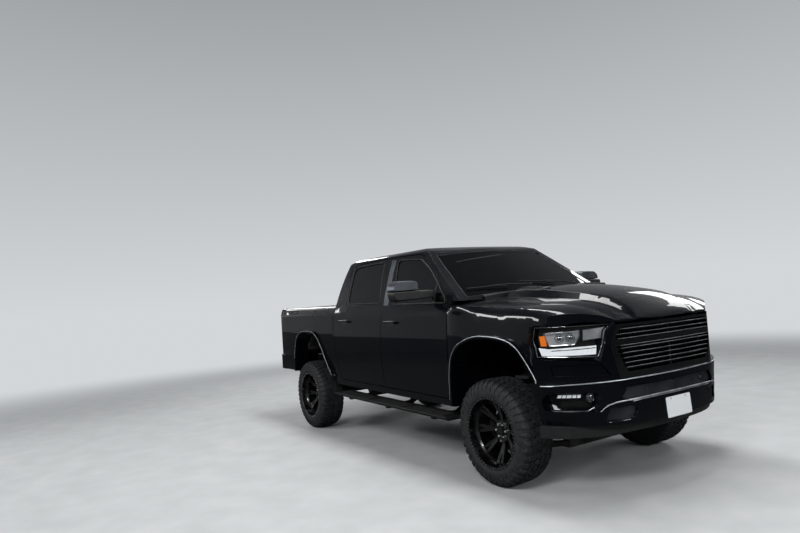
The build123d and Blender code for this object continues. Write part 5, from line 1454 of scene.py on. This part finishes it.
coils = {
    "front": {"foot": (0, 600, 512), "head": 828, "radius": 62, "wire": 8.5, "turns": 6},
    "rear": {"foot": (-3672, 530, 499), "head": 903, "radius": 58, "wire": 8.5, "turns": 7},
}
struts = {
    "closedTurns": 0.8,
    "closedRise": 0.04,
    # seats under and over each coil: radius and height from the coil's foot or head
    "lowerSeat": [(12, -8), (74, -8), (76, 0), (70, 5), (40, 6), (12, 6)],
    "upperSeat": [(12, -4), (62, -4), (74, 0), (72, 6), (12, 6)],
    "brackets": [((-80, 452, 826), (80, 660, 850)), ((-80, 452, 700), (80, 472, 830)),
                 ((-64, 575, 492), (64, 625, 512)), ((-64, 575, 282), (-38, 625, 494)),
                 ((38, 575, 282), (64, 625, 494)), ((-3747, 452, 904), (-3597, 600, 924))],
    "damper": ((0, 600, 500), (0, 600, 690), 27),
    "rod": ((0, 600, 680), (0, 600, 830), 11),
    # bump stops: outline of radius and height, and its place
    "stops": [([(10, 770), (36, 772), (38, 800), (30, 828), (10, 828)], (0, 600, 0)),
              ([(12, 800), (30, 804), (36, 850), (40, 902), (12, 902)], (-3672, 530, 0))],
}


def addHelix(bm, foot, head, radius, wire, turns):
    # a coil spring with its end turns closed
    closed, drift = struts["closedTurns"], struts["closedRise"]
    steps = turns * 20
    points = []
    for step in range(steps + 1):
        share = step / steps
        angle = 2 * math.pi * turns * share
        rise = min(max((share * turns - closed) / (turns - 2 * closed), 0), 1)
        up = foot[2] + wire + (head - foot[2] - 2 * wire) * (drift * share + (1 - drift) * rise)
        points.append((foot[0] + radius * math.cos(angle), foot[1] + radius * math.sin(angle), up))
    addBead(bm, points, wire, sides=10)


def buildSprings():
    # the wound coils with their seats, the front dampers with their rods and the bump stops
    wound, seats, dampers, rods = (bmesh.new() for _ in range(4))
    for coil in coils.values():
        addHelix(wound, coil["foot"], coil["head"], coil["radius"], coil["wire"], coil["turns"])
        along, across, up = coil["foot"]
        for outline, level in (("lowerSeat", up), ("upperSeat", coil["head"])):
            addLathe(seats, [(radius, level + rise) for radius, rise in struts[outline]], (along, across, 0),
                     (0, 0, 1))
    for low, high in struts["brackets"]:
        addBlock(seats, low, high)
    addRod(dampers, *struts["damper"], 28)
    addRod(rods, *struts["rod"], 20)
    for outline, place in struts["stops"]:
        addLathe(dampers, outline, place, (0, 0, 1))
    for bm, name, finish, extra in ((wound, "coilSprings", "springSteel", {"replaced": ("springs",)}),
                                    (seats, "springSeats", "framePaint", {"bevel": 0.003}),
                                    (dampers, "dampers", "glossTrim", {"bevel": 0.002}),
                                    (rods, "damperRods", "chrome", {})):
        mirrored(bm)
        finishPiece(bm, name, finish, place=unsprung, **extra)


engineBay = {
    "cover": [(-290, 1222), (-262, 1292), (150, 1284), (205, 1262), (222, 1222)],
    "coverHalf": 182,
    "ribs": 7,
    "ribInset": 30,
    "rib": [(-240, 0, 1286), (-240, 16, 1286), (-232, 13, 1302), (-232, 3, 1302)],
    "ribRun": (370, 0, -5),
    "caps": [([(0.5, 22), (24, 22), (28, 16), (28, -8), (0.5, -8)], (172, 138, 1272)),
             ([(0.5, 18), (28, 18), (32, 12), (32, -12), (0.5, -12)], (668, 300, 1196))],
    "core": ((650, -392, 740), (686, 392, 1190)),
    "fins": 34,
    "finStart": 0.3,
    "finShare": 0.4,
    "finInset": 30,
    "finDepths": (-2, 6),
    "duct": [(170, -96, 1262), (300, -120, 1270), (430, -190, 1252), (560, -262, 1216), (656, -290, 1170)],
    "ductRadius": 38,
    "hoses": [[(200, 120, 1206), (360, 190, 1214), (520, 236, 1190), (652, 250, 1150)],
              [(205, 60, 940), (380, 40, 900), (540, -60, 860), (652, -120, 820)]],
    "hoseRadius": 19,
}


def buildEngineBay():
    # a ribbed cover over the engine, the radiator with its fins, and the hoses between them
    cover = bmesh.new()
    half, inset = engineBay["coverHalf"], engineBay["ribInset"]
    addPrism(cover, [(along, -half, up) for along, up in engineBay["cover"]], (0, 2 * half, 0))
    for rib in range(engineBay["ribs"]):
        start = -half + inset + rib * (2 * half - 2 * inset - 16) / (engineBay["ribs"] - 1)
        addPrism(cover, [(along, start + across, up) for along, across, up in engineBay["rib"]],
                 engineBay["ribRun"])
    finishPiece(cover, "engineCover", "blackTrim", bevel=0.005, segments=3)
    caps = bmesh.new()
    for outline, place in engineBay["caps"]:
        addLathe(caps, outline, place, (0, 0, 1), steps=28)
    finishPiece(caps, "fillerCaps", "glossTrim", bevel=0.001)
    low, high = engineBay["core"]
    blockPiece("radiatorCore", "framePaint", [(low, high)], bevel=0.004)
    pitch = (high[1] - low[1]) / engineBay["fins"]
    back, front = engineBay["finDepths"]
    blocks = []
    for fin in range(engineBay["fins"]):
        across = low[1] + (fin + engineBay["finStart"]) * pitch
        blocks.append(((high[0] + back, across, low[2] + engineBay["finInset"]),
                       (high[0] + front, across + pitch * engineBay["finShare"], high[2] - engineBay["finInset"])))
    blockPiece("radiatorFins", "pipe", blocks)
    hoses = bmesh.new()
    addBead(hoses, engineBay["duct"], engineBay["ductRadius"], sides=18)
    for hose in engineBay["hoses"]:
        addBead(hoses, hose, engineBay["hoseRadius"], sides=14)
    finishPiece(hoses, "engineHoses", "sealRubber")


buildEngineBay()
buildSprings()
print("chassis dressed")


# Cabin: padded seats, steering wheel, screen and mirror

pads = {
    # the outline's along and up, as seen from the left
    "Cushion": {"view": [(-1500, 905), (-1090, 925), (-1078, 1020), (-1180, 1038), (-1470, 1005)], "ends": 0.1,
                "cuts": (0.2, 0.5, 0.8)},
    "Back": {"view": [(-1508, 1040), (-1640, 1440), (-1672, 1556), (-1730, 1566), (-1700, 1440), (-1598, 1000)],
             "ends": 0.12, "cuts": (0.25, 0.5, 0.75)},
    "Headrest": {"view": [(-1690, 1606), (-1704, 1690), (-1772, 1684), (-1756, 1600)], "ends": 0.1, "cuts": (0.5,),
                 "half": 135},
}
seatPlaces = {"leftSeat": (435, 252), "rightSeat": (-435, 252)}
seatParts = {
    "stays": (60, (-1704, 1530), (-1730, 1640), 6),
    "base": [(-1545, 722), (-1100, 722), (-1084, 916), (-1560, 900)],
    "baseInset": 14,
    "knob": (-1500, 850, -16, 6, 34),
    "lever": [(-1420, 838), (-1200, 846), (-1200, 866), (-1420, 862)],
    "leverThick": 22,
}
benchPads = {
    "benchCushion": {"view": [(-2596, 905), (-2190, 925), (-2178, 1020), (-2280, 1038), (-2570, 1008)], "ends": 0.08,
                     "cuts": (0.2, 0.5, 0.8)},
    "benchBack": {"view": [(-2612, 1040), (-2708, 1440), (-2730, 1550), (-2776, 1550), (-2776, 1060), (-2700, 1010)],
                  "ends": 0.08, "cuts": (0.25, 0.5, 0.75)},
}
benchHalf = 742
benchRest = {"view": [(-2712, 1560), (-2718, 1626), (-2776, 1626), (-2774, 1556)], "ends": 0.1, "cuts": (0.5,),
             "half": 130, "places": {"benchRestLeft": 440, "benchRestRight": -440}}
benchBase = {"outline": [(-2650, 722), (-2180, 722), (-2170, 912), (-2656, 902)], "half": 736}
# Lengths of the cloth run are in metres; seams and slices are shares of a pad's half width
padCloth = {
    "voxel": 0.008,
    "benchVoxel": 0.011,
    "pressure": 4.0,
    "frames": 20,
    "cap": 0.024,
    "smoothing": 4,
    "slices": (-0.96, -0.88, -0.75, -0.5, -0.25, 0, 0.25, 0.5, 0.75, 0.88, 0.96),
    "cornerDraw": 0.16,
    "seamHalf": 0.62,
    "seamEnds": 0.06,
    "castFrom": 200,
}


def padForm(view, middle, half, ends):
    # a closed form whose outline draws in towards its ends
    bm = bmesh.new()
    rows = bowed([(along, up, 4) for along, up in view], 4)
    centre = sum(rows, Vector((0, 0))) / len(rows)
    addPrism(bm, [(point.x, middle - half, point.y) for point in rows], (0, 2 * half, 0))
    sliced(bm, "y", [middle + half * share for share in padCloth["slices"]])
    for vert in bm.verts:
        share = abs(vert.co.y - middle) / half
        draw = 1 - ends * share ** 4 - (padCloth["cornerDraw"] if share > 0.99 else 0)
        vert.co.x = centre.x + (vert.co.x - centre.x) * draw
        vert.co.z = centre.y + (vert.co.z - centre.y) * draw
    return bm


def swollen(bm, voxel):
    # presses a pad outwards as cloth, and keeps each point within the cap
    bmesh.ops.transform(bm, matrix=sprung, verts=bm.verts)
    bmesh.ops.recalc_face_normals(bm, faces=bm.faces)
    mesh = bpy.data.meshes.new("padShape")
    bm.to_mesh(mesh)
    bm.free()
    pad = bpy.data.objects.new("padShape", mesh)
    scene = bpy.context.scene
    scene.collection.objects.link(pad)
    remesh = pad.modifiers.new("remesh", "REMESH")
    remesh.mode = "VOXEL"
    remesh.voxel_size = voxel
    fine = bpy.data.meshes.new_from_object(pad.evaluated_get(bpy.context.evaluated_depsgraph_get()))
    pad.modifiers.clear()
    pad.data = fine
    cloth = pad.modifiers.new("cloth", "CLOTH")
    cloth.settings.use_pressure = True
    cloth.settings.uniform_pressure_force = padCloth["pressure"]
    cloth.settings.effector_weights.gravity = 0
    cloth.point_cache.frame_start = 1
    cloth.point_cache.frame_end = padCloth["frames"]
    for number in range(1, padCloth["frames"] + 1):
        scene.frame_set(number)
    pressed = bpy.data.meshes.new_from_object(pad.evaluated_get(bpy.context.evaluated_depsgraph_get()))
    for vert, target in zip(fine.vertices, pressed.vertices):
        move = target.co - vert.co
        vert.co += move * min(1, padCloth["cap"] / max(move.length, 0.0001))
    scene.frame_set(1)
    shape = bmesh.new()
    shape.from_mesh(fine)
    bpy.data.objects.remove(pad)
    for _ in range(padCloth["smoothing"]):
        bmesh.ops.smooth_vert(shape, verts=shape.verts, factor=0.5, use_axis_x=True, use_axis_y=True, use_axis_z=True)
    return shape


def addSeam(bm, tree, starts, aim, radius=2.6):
    # a piping that follows the pad's surface, found by casting from outside
    points = []
    for start in starts:
        hit = tree.ray_cast(sprung @ Vector(start), aim)[0]
        if hit is not None:
            points.append(sprung.inverted() @ hit)
    if len(points) > 3:
        addBead(bm, points, radius, sides=6)


def buildPad(name, pad, middle, half, voxel, replaced=()):
    # one padded piece with its piping: lines across it, and two along its sides where it has fields
    shape = swollen(padForm(pad["view"], middle, half, pad["ends"]), voxel)
    tree = BVHTree.FromBMesh(shape)
    seams = bmesh.new()
    low, high = min(up for _, up in pad["view"]), max(up for _, up in pad["view"])
    back, front = min(along for along, _ in pad["view"]), max(along for along, _ in pad["view"])
    standing = high - low > front - back
    aim = Vector((-1, 0, 0)) if standing else Vector((0, 0, -1))
    reach, margin, away = (padCloth[key] for key in ("seamHalf", "seamEnds", "castFrom"))

    def castStart(across, share):
        # ahead of a standing pad, or over a lying one, at a share of its length
        if standing:
            return front + away, across, low + (high - low) * share
        return back + (front - back) * share, across, high + away

    for share in pad["cuts"]:
        addSeam(seams, tree, [castStart(middle + half * reach * step / 8, share) for step in range(-8, 9)], aim)
    if len(pad["cuts"]) > 1:
        for side in (-reach, reach):
            line = [castStart(middle + half * side, margin + (1 - 2 * margin) * step / 16)
                    for step in range(17)]
            addSeam(seams, tree, line, aim)
    piece = finishPiece(shape, name, "leather", place=Matrix.Identity(4), replaced=replaced, sharp=80)
    finishPiece(seams, name + "Piping", "seamThread")


def buildSeats():
    # two front seats on their bases, with stays and controls, and the rear bench
    replaced = ("seats",)
    for name, (middle, half) in seatPlaces.items():
        for part, pad in pads.items():
            buildPad(name + part, pad, middle, pad.get("half", half), padCloth["voxel"], replaced)
            replaced = ()
        stays = bmesh.new()
        apart, (footAlong, footUp), (headAlong, headUp), radius = seatParts["stays"]
        for across in (middle - apart, middle + apart):
            addRod(stays, (footAlong, across, footUp), (headAlong, across, headUp), radius, 12)
        finishPiece(stays, name + "Stays", "chrome")
        shell = bmesh.new()
        wide = half - seatParts["baseInset"]
        addPrism(shell, [(along, middle - wide, up) for along, up in seatParts["base"]], (0, 2 * wide, 0))
        finishPiece(shell, name + "Base", "dashPlastic", bevel=0.02, segments=4)
        lever = bmesh.new()
        side = 1 if middle > 0 else -1
        along, up, sunk, raised, radius = seatParts["knob"]
        near, far = (middle + side * (half + out) for out in (sunk, raised))
        addRod(lever, (along, near, up), (along, far, up), radius, 28)
        addPrism(lever, [(along, near, up) for along, up in seatParts["lever"]],
                 (0, side * seatParts["leverThick"], 0))
        finishPiece(lever, name + "Controls", "glossTrim", bevel=0.004)
    for name, pad in benchPads.items():
        buildPad(name, pad, 0, benchHalf, padCloth["benchVoxel"])
    for name, across in benchRest["places"].items():
        buildPad(name, benchRest, across, benchRest["half"], padCloth["voxel"])
    shell = bmesh.new()
    half = benchBase["half"]
    addPrism(shell, [(along, -half, up) for along, up in benchBase["outline"]], (0, 2 * half, 0))
    finishPiece(shell, "benchBase", "dashPlastic", bevel=0.02, segments=4)


controls = {
    "wheelCentre": (-1010, 390, 1290),
    "wheelAxis": (-0.88, 0, 0.475),
    "rim": (13, 176, 17),
    "hub": [(0.5, 44), (40, 42), (66, 34), (74, 18), (74, 2), (0.5, 2)],
    "bezel": ((-874, -118, 1150), (-846, 118, 1420)),
    "display": ((-876, -106, 1180), (-872, 106, 1408)),
    "vents": (-700, -230, 200, 700),
    # blocks of a vent, measured from its middle: its cheeks, then its lowest blade, repeated upwards
    "cheeks": [((-862, -74, 1318), (-842, -67, 1404)), ((-862, 67, 1318), (-842, 74, 1404))],
    "blade": ((-868, -66, 1330), (-840, 66, 1335)),
    "blades": 5,
    "bladePitch": 15,
    "mirrorStay": ((0, 742, -8), (-1020, 0, 1884), 9),
    "mirror": [(-120, 1850), (120, 1850), (126, 1880), (112, 1914), (-112, 1914), (-126, 1880)],
    "mirrorSpan": (-1028, -26),
}


def buildControls():
    # the leather rim over the wheel, its hub, the dashboard's screen and vents, and the mirror
    centre, axis = Vector(controls["wheelCentre"]), Vector(controls["wheelAxis"]).normalized()
    side = Vector((0, 1, 0))
    up = axis.cross(side).normalized()
    rim = bmesh.new()
    ahead, circle, radius = controls["rim"]
    angles = [2 * math.pi * step / 48 for step in range(48)]
    ring = [centre + axis * ahead + (side * math.cos(angle) + up * math.sin(angle)) * circle
            for angle in angles]
    addBead(rim, ring, radius, closed=True, sides=12)
    finishPiece(rim, "steeringRim", "leather")
    hub = bmesh.new()
    addLathe(hub, controls["hub"], tuple(centre), tuple(axis), steps=36)
    finishPiece(hub, "steeringHub", "dashPlastic")
    blockPiece("screenBezel", "glossTrim", [controls["bezel"]], bevel=0.006, segments=3)
    blockPiece("centreDisplay", "screenDisplay", [controls["display"]], bevel=0.001)
    low, high = (Vector(corner) for corner in controls["blade"])
    blocks = []
    for across in controls["vents"]:
        middle = Vector((0, across, 0))
        for step in range(controls["blades"]):
            place = middle + Vector((0, 0, step * controls["bladePitch"]))
            blocks.append((low + place, high + place))
        blocks += [(Vector(foot) + middle, Vector(head) + middle) for foot, head in controls["cheeks"]]
    blockPiece("dashVents", "blackTrim", blocks, bevel=0.001, segments=1)
    mirror = bmesh.new()
    foot, head, radius = controls["mirrorStay"]
    addRod(mirror, onScreen(Vector(foot)), head, radius, 14)
    start, run = controls["mirrorSpan"]
    addPrism(mirror, [(start, across, up) for across, up in controls["mirror"]], (run, 0, 0))
    finishPiece(mirror, "rearViewMirror", "blackTrim", bevel=0.005, segments=3)


doorCards = {
    "front_door": {"card": [(-1726, 770), (-700, 770), (-680, 1120), (-700, 1440), (-1726, 1452)],
                   "rest": (-1600, -1040), "roll": [(-1706, 1438), (-710, 1432)], "speaker": -830},
    "rear_door": {"card": [(-2540, 900), (-2400, 770), (-1850, 770), (-1850, 1452), (-2600, 1452)],
                  "rest": (-2420, -1980), "roll": [(-2480, 1438), (-1880, 1432)], "speaker": -1980},
}
cardParts = {
    "face": (881, 800, 0.0185),
    "card": (-2, 12),
    "rest": (6, 58),
    "rollBead": (12, 14),
    # along from the armrest's front, in from the door, up
    "grab": [(-210, 8, 1176), (-200, 26, 1178), (-120, 30, 1184), (-40, 26, 1188), (-30, 8, 1190)],
    "grabRadius": 8,
    "speakerSeat": (9, 905),
    "speaker": [(0.5, 4), (58, 3), (66, 7), (74, 7), (78, 0), (0.5, 0)],
}


def onCard(point):
    # (along, in from the door's inner face, up) to its place on the left door
    across, level, lean = cardParts["face"]
    return Vector((point.x, across + (point.z - level) * lean - point.y, point.z))


def buildDoorCards():
    # the padded inner panel of each door with its armrest, grab handle and speaker
    for door, shape in doorCards.items():
        bodies = (door + "_left_body", door + "_right_body")
        card = bmesh.new()
        inward, thick = cardParts["card"]
        addPrism(card, [(along, inward, up) for along, up in shape["card"]], (0, thick, 0))
        back, front = shape["rest"]
        inward, thick = cardParts["rest"]
        addPrism(card, [(back, inward, 1046), (front, inward, 1046), (front - 30, inward, 1098), (back, inward, 1090)],
                 (0, thick, 0))
        bent(card, onCard)
        finishBothSides(card, door + "Card", "dashPlastic", *bodies, bevel=0.006, segments=3)
        top = bmesh.new()
        (start, startUp), (end, endUp) = shape["roll"]
        inward, radius = cardParts["rollBead"]
        line = [(start + (end - start) * step / 8, inward, startUp + (endUp - startUp) * step / 8)
                for step in range(9)]
        addBead(top, [onCard(Vector(point)) for point in line], radius)
        finishBothSides(top, door + "TopRoll", "leather", *bodies)
        grab = bmesh.new()
        line = [(front + along, inward, up) for along, inward, up in cardParts["grab"]]
        addBead(grab, [onCard(Vector(point)) for point in line], cardParts["grabRadius"])
        finishBothSides(grab, door + "Grab", "satinTrimAndPaintedReflection", *bodies)
        cone = bmesh.new()
        inward, up = cardParts["speakerSeat"]
        place = onCard(Vector((shape["speaker"], inward, up)))
        addLathe(cone, cardParts["speaker"], tuple(place), (0, -1, 0), steps=32)
        finishBothSides(cone, door + "Speaker", "meshPlastic", *bodies)


buildDoorCards()
buildSeats()
buildControls()
print("cabin dressed")


# Camera, floor and light

def placeCamera():
    # solved from the photograph with the truck's own wheelbase
    view = {"place": (3.9346 + truck["frontAxle"], -4.2629, 1.5444), "yaw": 147.915, "pitch": 3.495, "roll": -4.4426,
            "focalShare": 607.76 / 800, "sensor": 36}
    yaw, pitch, roll = (math.radians(view[k]) for k in ("yaw", "pitch", "roll"))
    ahead = Vector((math.cos(pitch) * math.cos(yaw), math.cos(pitch) * math.sin(yaw), math.sin(pitch)))
    level = ahead.cross(Vector((0, 0, 1))).normalized()
    upright = level.cross(ahead)
    right = math.cos(roll) * level + math.sin(roll) * upright
    up = -math.sin(roll) * level + math.cos(roll) * upright
    cameraData = bpy.data.cameras.new("photoCamera")
    cameraData.sensor_width = view["sensor"]
    cameraData.lens = view["sensor"] * view["focalShare"]
    camera = bpy.data.objects.new("photoCamera", cameraData)
    bpy.context.scene.collection.objects.link(camera)
    basis = Matrix((right, up, -ahead)).transposed().to_4x4()
    camera.matrix_world = Matrix.Translation(view["place"]) @ basis
    bpy.context.scene.camera = camera


studio = {
    "horizon": "#d3d6d8",
    "horizonUp": 0.02,
    "middle": "#b4b8bb",
    "middleUp": 0.3,
    "zenith": "#6b6f72",
    "zenithUp": 0.75,
    "ambient": 0.4,
    "floorRadius": 90,
    "darkGround": "#08090b",
    "nearFloor": 6.0,
    "farFloor": 15.0,
    "mirroredFloor": 0.85,
}


def stageStrength(tree):
    # full for what the camera sees, directly or through glass; mirrored in the paint, the stage is darker
    path = addNode(tree, "ShaderNodeLightPath")
    either = addNode(tree, "ShaderNodeMath", {"operation": "MAXIMUM"})
    tree.links.new(path.outputs["Is Camera Ray"], either.inputs[0])
    tree.links.new(path.outputs["Is Transmission Ray"], either.inputs[1])
    limits = {"To Min": studio["ambient"], "To Max": 1.0}
    strength = addNode(tree, "ShaderNodeMapRange", limits, {"Value": either.outputs[0]})
    return strength.outputs["Result"]


def layFloor():
    bm = bmesh.new()
    bmesh.ops.create_circle(bm, cap_ends=True, segments=64, radius=studio["floorRadius"])
    mesh = bpy.data.meshes.new("studioFloor")
    bm.to_mesh(mesh)
    bm.free()
    floor = bpy.data.objects.new("studioFloor", mesh)
    bpy.context.scene.collection.objects.link(floor)
    material, tree, shader = newMaterial("paintedFloor", "#bfc2c3", 0.85)
    speck = objectPattern(tree, "ShaderNodeTexNoise", 3.0, Detail=4.0)
    tint(tree, shader, speck.outputs["Fac"], "#babdbe", "#c4c6c7")
    # far away the floor fades into the horizon's own colour
    coordinates = addNode(tree, "ShaderNodeTexCoord")
    distance = addNode(tree, "ShaderNodeVectorMath", {"operation": "LENGTH"}, {0: coordinates.outputs["Object"]})
    limits = {"From Min": studio["nearFloor"], "From Max": studio["farFloor"], "interpolation_type": "SMOOTHSTEP"}
    fade = addNode(tree, "ShaderNodeMapRange", limits, {"Value": distance.outputs["Value"]})
    glow = addNode(tree, "ShaderNodeEmission", {"Color": linear(studio["horizon"])})
    tree.links.new(stageStrength(tree), glow.inputs["Strength"])
    blend = addNode(tree, "ShaderNodeMixShader", {}, {0: fade.outputs["Result"], 1: shader.outputs["BSDF"],
                                                      2: glow.outputs["Emission"]})
    # mirrored in the paint the floor is as dark as the ground in the photo
    path = addNode(tree, "ShaderNodeLightPath")
    mirroredShare = addNode(tree, "ShaderNodeMath", {"operation": "MULTIPLY"}, {0: path.outputs["Is Glossy Ray"]})
    mirroredShare.inputs[1].default_value = studio["mirroredFloor"]
    night = addNode(tree, "ShaderNodeEmission", {"Color": linear(studio["darkGround"])})
    stage = addNode(tree, "ShaderNodeMixShader", {}, {0: mirroredShare.outputs["Value"], 1: blend.outputs["Shader"],
                                                      2: night.outputs["Emission"]})
    tree.links.new(stage.outputs["Shader"], tree.nodes["Material Output"].inputs["Surface"])
    mesh.materials.append(material)


def lightStudio():
    lamps = {
        "keyPanel": {"place": (5.5, -6.5, 5.5), "aim": (0.8, 0, 0.9), "size": (3.0, 1.6), "watts": 330},
        "sidePanel": {"place": (-3.5, -7.5, 4.6), "aim": (-0.8, 0, 1.0), "size": (5.0, 0.9), "watts": 230},
        "farPanel": {"place": (1.0, 7.5, 5.0), "aim": (0, 0, 1.0), "size": (6.0, 1.4), "watts": 200},
        "overhead": {"place": (0.8, 0, 6.5), "aim": (0.8, 0, 0), "size": (5.5, 1.4), "watts": 330},
        "nosePanel": {"place": (9.0, 1.5, 3.6), "aim": (2.6, 0, 0.9), "size": (3.2, 1.2), "watts": 150},
        "shoulderPanel": {"place": (-5.8, -2.02, 3.1), "aim": (0.2, -1.0, 1.45), "size": (0.34, 1.1),
                          "watts": 9, "roll": -32},
        "tailPanel": {"place": (-8.5, 1.5, 4.2), "aim": (-2.6, 0, 0.9), "size": (3.2, 1.2), "watts": 150},
    }
    for name, lamp in lamps.items():
        data = bpy.data.lights.new(name, "AREA")
        data.shape = "RECTANGLE"
        data.size, data.size_y = lamp["size"]
        data.energy = lamp["watts"]
        light = bpy.data.objects.new(name, data)
        bpy.context.scene.collection.objects.link(light)
        light.visible_camera = False
        light.location = lamp["place"]
        light.rotation_mode = "QUATERNION"
        facing = (Vector(lamp["aim"]) - Vector(lamp["place"])).to_track_quat("-Z", "Y")
        light.rotation_quaternion = facing @ Quaternion((0, 0, 1), math.radians(lamp.get("roll", 0)))
    world = bpy.data.worlds.new("studioWorld")
    bpy.context.scene.world = world
    world.use_nodes = True
    tree = world.node_tree
    coordinates = addNode(tree, "ShaderNodeTexCoord")
    height = addNode(tree, "ShaderNodeSeparateXYZ", {}, {"Vector": coordinates.outputs["Generated"]})
    sky = addNode(tree, "ShaderNodeValToRGB", {}, {"Fac": height.outputs["Z"]})
    sky.color_ramp.elements[0].position = studio["horizonUp"]
    sky.color_ramp.elements[0].color = linear(studio["horizon"])
    sky.color_ramp.elements[1].position = studio["zenithUp"]
    sky.color_ramp.elements[1].color = linear(studio["zenith"])
    sky.color_ramp.elements.new(studio["middleUp"]).color = linear(studio["middle"])
    background = tree.nodes["Background"]
    tree.links.new(sky.outputs["Color"], background.inputs["Color"])
    tree.links.new(stageStrength(tree), background.inputs["Strength"])


placeCamera()
layFloor()
lightStudio()
bpy.context.scene.view_settings.view_transform = "Standard"
print("studio set")
